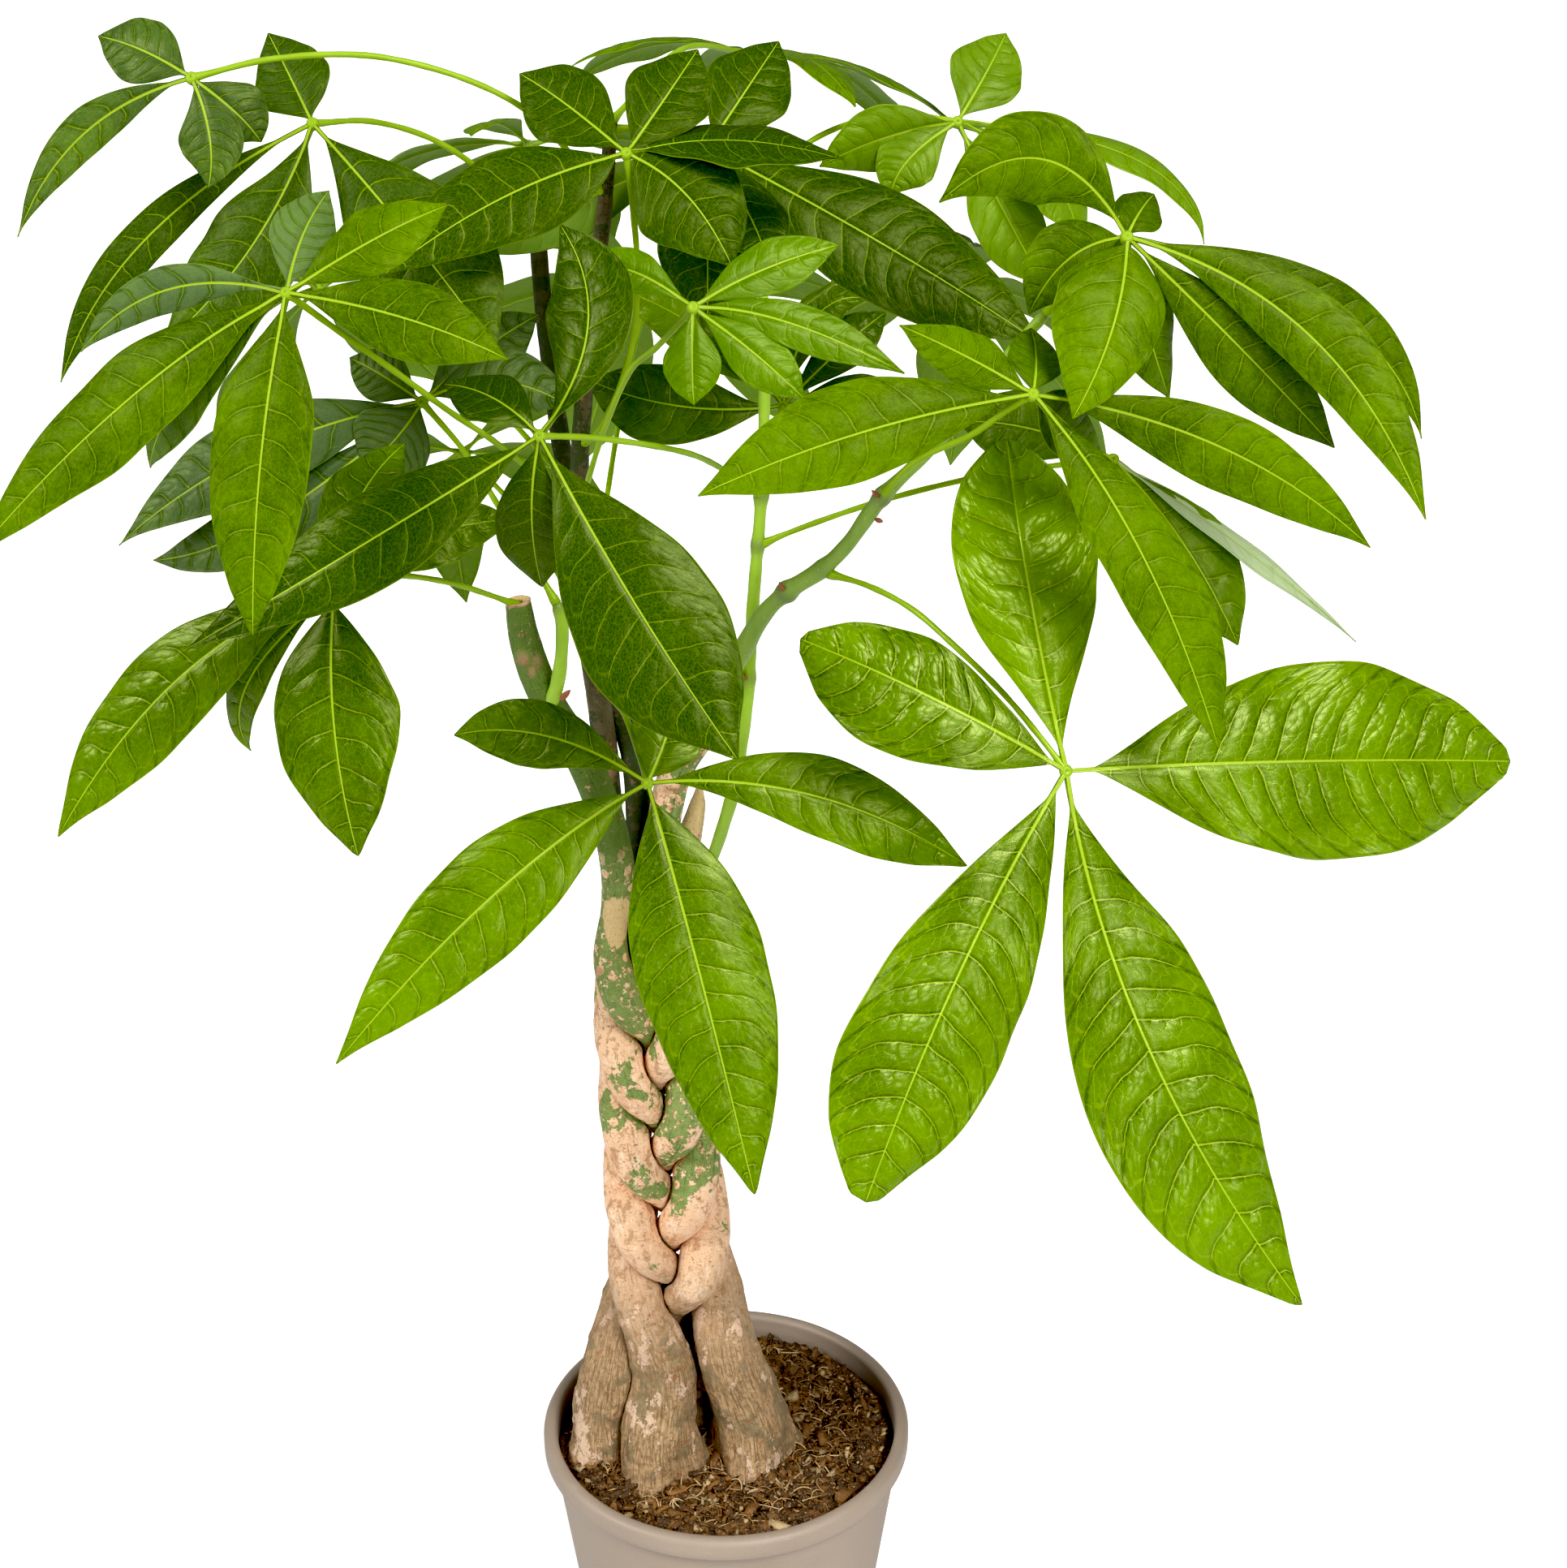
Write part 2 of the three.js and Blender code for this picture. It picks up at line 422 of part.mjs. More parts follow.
function soilSolid(trunks) {
  const bottom = WALL + GAP;
  const edge = SOIL_TOP - SOIL_EDGE_DROP;
  const insideAt = (z) => THREE.MathUtils.mapLinear(
    z, WALL + FOOT_ROUNDING, POT_HEIGHT - LIP_HEIGHT - LIP_ROUNDING,
    BASE_RADIUS - WALL, RIM_RADIUS - LIP_WIDTH) - 2 * GAP;
  const outline = [
    [0, bottom],
    [insideAt(bottom) - FOOT_ROUNDING, bottom],
    [insideAt(bottom + FOOT_ROUNDING), bottom + FOOT_ROUNDING],
    [insideAt(edge), edge],
    [insideAt(edge) - SOIL_SLOPE, SOIL_TOP - SOIL_HUMP],
    [SOIL_LEVEL_RADIUS, SOIL_TOP],
    [0, SOIL_TOP + SOIL_HUMP],
  ].map(([r, z]) => new THREE.Vector2(r, z));
  let soil = toSolid(new THREE.LatheGeometry(outline, POT_SIDES).rotateX(Math.PI / 2));
  for (const hollow of trunks) soil = soil.subtract(hollow);
  return largest(soil);
}

// ---- braided trunks ----
// How loose the braid is at a height: 1 at the soil, 0 where it is tight.
const looseness = (z) => 1 - THREE.MathUtils.smoothstep(z, LOOSE_BELOW, TIGHT_ABOVE);

// A value at a height, from a pair that holds it at the soil and at the braid's top.
function onTheWay(pair, z) {
  const rise = THREE.MathUtils.clamp((z - SOIL_TOP) / (BRAID_TOP - SOIL_TOP), 0, 1);
  return THREE.MathUtils.lerp(pair[0], pair[1], rise);
}

// The middle of one strand at a height: it weaves across the braid once while it goes in and out twice.
function strandPlace(trunk, z) {
  const turns = (BRAID_PHASE_HEIGHT - z) / BRAID_PERIOD;
  const angle = THREE.MathUtils.degToRad(BRAID_TURN + trunk.phase + 360 * turns);
  const braided = new THREE.Vector2(
    onTheWay(SWING_ACROSS, z) * Math.cos(angle),
    -onTheWay(SWING_DEPTH, z) * Math.sin(2 * angle));
  const axis = new THREE.Vector2(onTheWay(AXIS_ACROSS, z), onTheWay(AXIS_DEPTH, z));
  return axis.add(braided.lerp(new THREE.Vector2(...trunk.foot), looseness(z)));
}

const strandRadius = (z) => onTheWay(STRAND_RADIUS, z) + FOOT_SWELL * looseness(z);

// A level cut through one trunk: a disc pressed flat where a neighbour leans on it.
function strandRing(index, z, extra) {
  const centre = strandPlace(TRUNKS[index], z);
  const ring = [];
  for (let side = 0; side < TRUNK_SIDES; side++) {
    const angle = 2 * Math.PI * side / TRUNK_SIDES;
    const out = new THREE.Vector2(Math.cos(angle), Math.sin(angle));
    let radius = strandRadius(z);
    TRUNKS.forEach((other, at) => {
      if (at === index) return;
      const toOther = strandPlace(other, z).sub(centre);
      const distance = toOther.length();
      const towards = out.dot(toOther) / distance;
      if (towards > 0) radius = Math.min(radius, (distance - PRESS_GAP) / 2 / towards);
    });
    radius += extra;
    ring.push(new THREE.Vector3(centre.x + out.x * radius, centre.y + out.y * radius, z));
  }
  return ring;
}

function trunkSolid(index, extra) {
  const rings = [];
  for (let level = 0; level <= TRUNK_LEVELS; level++) {
    rings.push(strandRing(index, THREE.MathUtils.lerp(TRUNK_ROOT, BRAID_TOP, level / TRUNK_LEVELS), extra));
  }
  const stem = TRUNKS[index].stem;
  const inBraid = [BRAID_TOP - STEM_START_DROP, BRAID_TOP].map((z) => {
    const place = strandPlace(TRUNKS[index], z);
    return new THREE.Vector3(place.x, place.y, z);
  });
  const points = [...inBraid, ...stem.map(seen)];
  const radii = [...STEM_START_RADII, ...stem.map((point) => point[3])].map((radius) => radius + extra);
  const upper = rod(points, radii, STEM_SIDES, points.length + 4);
  return loft(rings).add(upper);
}

function shootSolid(shoot, extra) {
  const radii = shoot.route.map((point) => point[3] + extra);
  return rod(shoot.route.map(seen), radii, SHOOT_SIDES, shoot.route.length + 4);
}

// ---- leaves ----
function bezierPoint(a, b, c, t) {
  return a.clone().multiplyScalar((1 - t) ** 2).addScaledVector(b, 2 * t * (1 - t)).addScaledVector(c, t * t);
}

function bezierTangent(a, b, c, t) {
  return b.clone().sub(a).multiplyScalar(1 - t).addScaledVector(c.clone().sub(b), t).normalize();
}

// How far a blade reaches from its midrib: side is 1 for the right half, seen from its stalk, and -1 for
// the left one.
function halfWidth(leaflet, t, side) {
  const [widest, opening, closing] = SHAPES[side < 0 ? leaflet.left ?? leaflet.shape : leaflet.shape];
  const along = Math.max(0, (t - STALK_SHARE) / (1 - STALK_SHARE));
  const share = along < widest
    ? Math.sin(Math.PI / 2 * along / widest) ** opening
    : Math.max(0, Math.cos(Math.PI / 2 * (along - widest) / (1 - widest))) ** closing;
  return Math.max(leaflet.width / 2 * share * (1 + side * (leaflet.skew ?? 0)), NARROWEST);
}

// One leaflet: a thin blade bent along its midrib, from the hub to its tip.
function leafletSolid(hub, via, tip, leaflet, face) {
  const control = via.clone().multiplyScalar(2).addScaledVector(hub, -0.5).addScaledVector(tip, -0.5);
  const rings = BLADE_STATIONS.map((t) => {
    const middle = bezierPoint(hub, control, tip, t);
    const along = bezierTangent(hub, control, tip, t);
    const side = new THREE.Vector3().crossVectors(along, face).normalize();
    const up = new THREE.Vector3().crossVectors(side, along);
    const turn = THREE.MathUtils.degToRad(leaflet.turn ?? 0);
    const right = side.clone().multiplyScalar(Math.cos(turn)).addScaledVector(up, Math.sin(turn));
    const top = up.clone().multiplyScalar(Math.cos(turn)).addScaledVector(side, -Math.sin(turn));
    const edge = (way) => {
      const half = halfWidth(leaflet, t, way);
      return middle.clone().addScaledVector(right, half * way).addScaledVector(top, -CUP * half);
    };
    const rib = (way) => middle.clone().addScaledVector(top, way * BLADE_THICKNESS / 2);
    return [rib(1), edge(1), rib(-1), edge(-1)];
  });
  return loft(rings);
}

function hubSolid(hub) {
  return toSolid(new THREE.IcosahedronGeometry(HUB_RADIUS, 0).translate(hub.x, hub.y, hub.z));
}

function petioleSolid(points) {
  const radii = points.map((point, at) => PETIOLE_RADIUS * (at === 0 ? PETIOLE_FOOT : 1));
  return rod(points, radii, PETIOLE_SIDES, points.length + 1);
}

function viewLeaf(leaf) {
  const hub = seen(leaf.hub);
  const face = new THREE.Vector3(leaf.swing, -1, leaf.lean).normalize();
  const pieces = leaf.leaflets.map((leaflet) => {
    const behind = leaflet.ahead ?? 0;
    const tip = seenOnLeaf(leaflet.tip, hub, leaf, leaf.droop + behind);
    const via = seenOnLeaf(leaflet.via, hub, leaf, behind / 2);
    return leafletSolid(hub, via, tip, leaflet, face);
  });
  const petiole = petioleSolid([...leaf.petiole.map(seen), hub]);
  return pieces.reduce((sum, piece) => sum.add(piece), petiole.add(hubSolid(hub)));
}

function crownLeaf(leaf, start) {
  const hub = new THREE.Vector3(...leaf.hub);
  const around = THREE.MathUtils.degToRad(leaf.facing);
  const tipUp = THREE.MathUtils.degToRad(leaf.tip_up);
  const out = new THREE.Vector3(Math.sin(around), -Math.cos(around), 0);
  const face = out.clone().multiplyScalar(Math.cos(tipUp)).add(new THREE.Vector3(0, 0, Math.sin(tipUp)));
  const side = new THREE.Vector3().crossVectors(new THREE.Vector3(0, 0, 1), face).normalize();
  const downward = new THREE.Vector3().crossVectors(side, face);
  const spread = CROWN_SPREAD / leaf.count;
  const pieces = [];
  for (let at = 0; at < leaf.count; at++) {
    const angle = THREE.MathUtils.degToRad(leaf.spin + spread * (at - (leaf.count - 1) / 2));
    const way = downward.clone().multiplyScalar(Math.cos(angle)).addScaledVector(side, Math.sin(angle));
    const turnedAway = 1 - Math.cos(angle);
    const reach = leaf.reach * (1 - CROWN_SHORTER * turnedAway);
    const tip = hub.clone().addScaledVector(way, reach).addScaledVector(face, -CROWN_DROOP * reach);
    const via = hub.clone().addScaledVector(way, reach * CROWN_VIA);
    const leaflet = { width: leaf.width * (1 - CROWN_NARROWER * turnedAway), shape: "broad" };
    pieces.push(leafletSolid(hub, via, tip, leaflet, face));
  }
  const bend = start.clone().lerp(hub, 0.5).add(new THREE.Vector3(0, 0, CROWN_BEND));
  const petiole = petioleSolid([start, bend, hub]);
  return pieces.reduce((sum, piece) => sum.add(piece), petiole.add(hubSolid(hub)));
}

// ---- the whole plant ----
const group = new THREE.Group();
const stems = {};
const cutters = {};
const routes = {};

TRUNKS.forEach((trunk, index) => {
  const whole = trunkSolid(index, 0);
  stems[trunk.name] = largest(Object.values(cutters).reduce((rest, cutter) => rest.subtract(cutter), whole));
  cutters[trunk.name] = trunkSolid(index, GAP);
  routes[trunk.name] = new THREE.CatmullRomCurve3(trunk.stem.map(seen), false, "centripetal");
});
for (const shoot of SHOOTS) {
  stems[shoot.name] = largest(shootSolid(shoot, 0).subtract(cutters[shoot.from]));
  cutters[shoot.name] = shootSolid(shoot, GAP);
  routes[shoot.name] = new THREE.CatmullRomCurve3(shoot.route.map(seen), false, "centripetal");
}

group.add(toMesh(potSolid(), "pot", LOOKS.pot));
group.add(toMesh(soilSolid(TRUNKS.map((trunk) => cutters[trunk.name])), "soil", LOOKS.soil));
for (const trunk of TRUNKS) group.add(toMesh(stems[trunk.name], trunk.name, LOOKS.trunk));
for (const shoot of SHOOTS) group.add(toMesh(stems[shoot.name], shoot.name, LOOKS.shoot));
for (const leaf of VIEW_LEAVES) {
  group.add(toMesh(largest(viewLeaf(leaf).subtract(cutters[leaf.from])), leaf.name, LOOKS.leaf));
}
for (const leaf of CROWN_LEAVES) {
  const solid = crownLeaf(leaf, routes[leaf.from].getPoint(leaf.at));
  group.add(toMesh(largest(solid.subtract(cutters[leaf.from])), leaf.name, LOOKS.leaf));
}

export default group;
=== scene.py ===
# A potted money tree: braided trunks, green shoots and hand-shaped leaves in a round nursery pot.
# Shapes are worked out in millimetres, in the CAD model's frame, and turned into metres in each mesh.
import functools
import math

import bpy
import numpy as np
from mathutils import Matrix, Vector, noise


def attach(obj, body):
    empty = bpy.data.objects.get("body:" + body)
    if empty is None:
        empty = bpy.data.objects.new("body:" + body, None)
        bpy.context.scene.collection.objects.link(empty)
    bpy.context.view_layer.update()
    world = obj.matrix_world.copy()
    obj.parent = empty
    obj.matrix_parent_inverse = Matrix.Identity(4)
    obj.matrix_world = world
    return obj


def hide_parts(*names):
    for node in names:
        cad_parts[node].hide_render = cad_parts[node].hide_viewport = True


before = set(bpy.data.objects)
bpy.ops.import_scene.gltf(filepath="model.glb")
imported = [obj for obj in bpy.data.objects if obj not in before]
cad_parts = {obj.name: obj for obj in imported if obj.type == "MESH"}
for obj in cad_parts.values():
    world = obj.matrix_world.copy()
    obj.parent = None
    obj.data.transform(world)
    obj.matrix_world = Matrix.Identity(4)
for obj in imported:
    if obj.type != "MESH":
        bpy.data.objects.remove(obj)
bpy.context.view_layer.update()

MM = 0.001
TURN = 2 * np.pi

# ---- the camera, and the view that the plant's places are read in ----
IMAGE_WIDTH = 1931
SENSOR_WIDTH = 36
VIEW_EYE = np.array([26.7, -1027.7, 980.7])
VIEW_PITCH = math.radians(26)
VIEW_FOCAL = 3400
VIEW_CENTRE = (965.5, 966)

# ---- driving dimensions ----
POT_HEIGHT = 150
RIM_RADIUS = 85
BASE_RADIUS = 62
WALL = 2.4
LIP_WIDTH = 6.5
LIP_HEIGHT = 11
ROUNDING = 2.4
SOIL_TOP = 141
DRAIN_RADIUS = 5
DRAIN_CIRCLE = 38
DRAIN_COUNT = 6

BRAID_TOP = 405
BRAID_PERIOD = 210
BRAID_PHASE_HEIGHT = 241
TRUNK_ROOT = 118
PRESS_GAP = 0.8
# Pairs hold the value at the soil and the value at the braid's top.
AXIS_ACROSS = (-18.8, -32.2)
AXIS_DEPTH = (-2, -4)
SWING_ACROSS = (19.4, 14.2)
SWING_DEPTH = (14.5, 11)
STRAND_RADIUS = (12.2, 9.2)
FOOT_SWELL = 5
LOOSE_BELOW = 160
TIGHT_ABOVE = 245
BRAID_TURN = 45
STEM_START = BRAID_TOP - 14
STEM_START_RADII = (5.2, 5.6)
STEM_BLEND = 34
# Pairs hold the height where something starts and the height where it is full.
ROUGH_BARK = (278, 188)
GREEN_BARK = (215, 330)
FLARE = (172, 138)
FLARE_SIZE = 7.5

BLADE_THICKNESS = 0.5
PETIOLE_RADIUS = 1.16
PETIOLE_STEP = 2.2
HUB_RADIUS = 2.9
STALK_SHARE = 0.05
CUP = 0.12
VEIN_SPACING = 11.5
PUFF = 0.07
GROOVE_DEPTH = 0.55
GROOVE_WIDTH = 1.1
RIB_AT_STALK = 1.3
RIB_LOST = 0.9
JOINT_REACH = 3.2

SOIL_DIP = 3.2
SOIL_DIP_WIDTH = 12

# ---- how finely pieces are made ----
TRUNK_SIDES = 56
BRAID_STEP = 1.25
STEM_STEP = 1.9
SHOOT_STEP = 1.6
SOIL_SIDES = 150
CHIP_COUNT = 3600
FIBRE_COUNT = 1200
POT_SIDES = 160
ROWS_PER_VEIN = 7
# Shares of its half width at which a blade has a line of points.
HALF_COLUMNS = (0.03, 0.08, 0.16, 0.26, 0.37, 0.48, 0.59, 0.70, 0.80, 0.89, 0.96, 1.0)

# ---- light and colour ----
THROUGH_SHARE = 0.2
DOME_LIGHT = 0.2
FLOOR_GLOW = 0.8
FLOOR_SIZE = 9000
BLACK_POINT = 0.019
LEAF_COLOURS = {
    "leaf": ((0.018, 0.058, 0.0006), (0.172, 0.325, 0.0012), (0.42, 0.60, 0.022)),
    "young_leaf": ((0.06, 0.155, 0.001), (0.165, 0.33, 0.003), (0.42, 0.58, 0.03)),
}


# ---- what the plant is made of ----
def trunk(name, **more):
    return {"name": name, "stem_green": 0, "stem_dark": 0, "pruned": False, "torn": 0, "marks": [], **more}


# Each trunk: its phase in the braid in degrees, where its foot stands beside the braid's axis, and its
# free stem above the braid, from the braid up, as picture points with a depth and a radius. Then how green
# its braid and its stem are, how dark the stem is, whether it is pruned, how long its pale torn end is,
# and its marks: place, kind, size and how far each stands out.
TRUNKS = [
    trunk("trunk_left", phase=72, foot=(-33, -5), green=0.84, stem_green=0.85, pruned=True, stem=[
        (762, 1081, -11, 7.2), (747, 1005, -13, 7.2), (715, 930, -15, 7), (674, 862, -16, 6.8),
        (648, 795, -16, 6.2), (638, 742, -16, 5.2)], marks=[
        ((763, 1146, -20), "pale", (10, 9, 15), -0.6), ((644, 814, -24), "scar", (3, 4, 3), 1.6),
        ((663, 817, -24), "scar", (2.6, 4, 3.4), 1.3), ((655, 830, -24), "scar", (2, 3, 2), 0.8),
        ((737, 900, -20), "scar", (3, 4, 6), 0.2)]),
    trunk("trunk_front", phase=144, foot=(-11, -21), green=0.8, stem_dark=0.95, stem=[
        (787, 1060, 3, 5.5), (787, 1000, 8, 5.5), (781, 930, 13, 5.4), (758, 860, 21, 5.2),
        (735, 790, 26, 4.6), (700, 600, 42, 4), (672, 400, 52, 3.6), (660, 250, 60, 3.2)], marks=[
        ((745, 820, 24), "scar", (9, 9, 4), 0.5), ((750, 845, 22), "scar", (8, 9, 3), 0.2)]),
    trunk("trunk_right", phase=-72, foot=(32, -12), green=0.45, stem_green=0.35, stem=[
        (815, 1060, -9, 7), (820, 1000, -9, 7), (836, 945, -7, 6.8), (864, 905, -4, 6.2),
        (880, 878, -2, 5.6)], marks=[
        ((845, 935, -14), "scar", (7, 6, 2), 0.4), ((828, 975, -16), "scar", (6, 6, 1.6), 0.3)]),
    trunk("trunk_back", phase=0, foot=(-11, 21), green=0.5, stem_dark=0.9, stem=[
        (757, 1060, 13, 5.2), (749, 960, 13, 5.2), (740, 876, 9, 5), (728, 803, 5, 4.6),
        (716, 700, 6, 4), (715, 560, 8, 3.6), (728, 400, 12, 3.2), (745, 250, 16, 3),
        (753, 150, 20, 2.6)], marks=[((748, 940, 8), "scar", (4, 6, 8), 0.2)]),
    trunk("trunk_stub", phase=-144, foot=(17, 17), green=0.3, stem_green=0.1, torn=34, stem=[
        (840, 1075, 6, 5.2), (850, 1030, 3, 5), (860, 990, 1, 3.4), (862, 968, 0, 1.2)]),
]

# Green shoots: the height up to which each looks aged, and how much; its route, its swollen joints, and its
# buds from foot to tip with their radius.
SHOOTS = [
    {"name": "shoot_middle", "old_to": 520, "old": 0.5, "route": [
        (836, 1100, -6, 2.8), (872, 1066, -12, 2.8), (893, 1012, -14, 2.7), (908, 955, -14, 2.6),
        (921, 860, -13, 2.5), (928, 745, -12, 2.5), (938, 611, -8, 2.4), (942, 480, 0, 2.3),
        (940, 360, 8, 2.2), (932, 262, 16, 2)],
     "joints": [(939, 590, -7), (937, 610, -8), (936, 672, -10), (917, 834, -13)],
     "buds": [((921, 836, -15), (911, 832, -17), 1.0)]},
    {"name": "shoot_right", "old_to": 700, "old": 0.75, "route": [
        (878, 882, -3, 4), (893, 848, -8, 3.9), (911, 810, -28, 3.8), (941, 757, -34, 3.6),
        (970, 729, -40, 3.4), (1013, 701, -47, 3.2), (1044, 671, -53, 3), (1072, 632, -58, 2.9),
        (1088, 611, -61, 2.8), (1140, 560, -64, 2.5), (1190, 505, -62, 2.3), (1245, 435, -58, 2.1),
        (1290, 385, -54, 2)],
     "joints": [(970, 729, -40), (1021, 707, -48), (1086, 611, -61), (1289, 386, -54)],
     "buds": [((966, 728, -43), (960, 717, -45), 1.0), ((1079, 640, -62), (1088, 643, -66), 1.0),
              ((1083, 612, -64), (1074, 604, -66), 0.9)]},
    {"name": "shoot_left", "old_to": 300, "old": 0.1, "route": [
        (676, 872, -18, 2.8), (686, 846, -24, 2.8), (692, 805, -28, 2.7), (692, 765, -30, 2.6),
        (686, 742, -30, 2.4)],
     "joints": [(686, 744, -30)],
     "buds": [((691, 862, -26), (703, 850, -27), 1.3)]},
]

# How a leaf usually looks: its tone from dark to light, a grey sheen that is a painted reflection, pale
# specks, how far its blades puff up between the veins, how dull it is, how clear its veins are, how wavy its
# margins are, and how far its halves fold up. A leaf, or a leaflet for its tone, grey sheen, under and
# specks, may say otherwise.
USUAL_LOOKS = {"tone": 0.5, "grey": 0, "speck": 0, "quilt": 0.5, "matte": 0.3, "veins": 0.4, "ruffle": 0.05,
               "fold": 0.1}


def blade(tip_x, tip_y, via_x, via_y, width, shape, **more):
    """A leaflet: the picture points of its tip and its middle, its real width and its outline."""
    return {"tip": (tip_x, tip_y), "via": (via_x, via_y), "width": width, "shape": shape, **more}


def leaf(name, hub, lean, swing, droop, petiole, leaflets, **looks):
    """A compound leaf, with what its looks add to the usual ones."""
    return {"name": name, "hub": hub, "lean": lean, "swing": swing, "droop": droop, "petiole": petiole,
            "leaflets": leaflets, "looks": {**USUAL_LOOKS, **looks}}


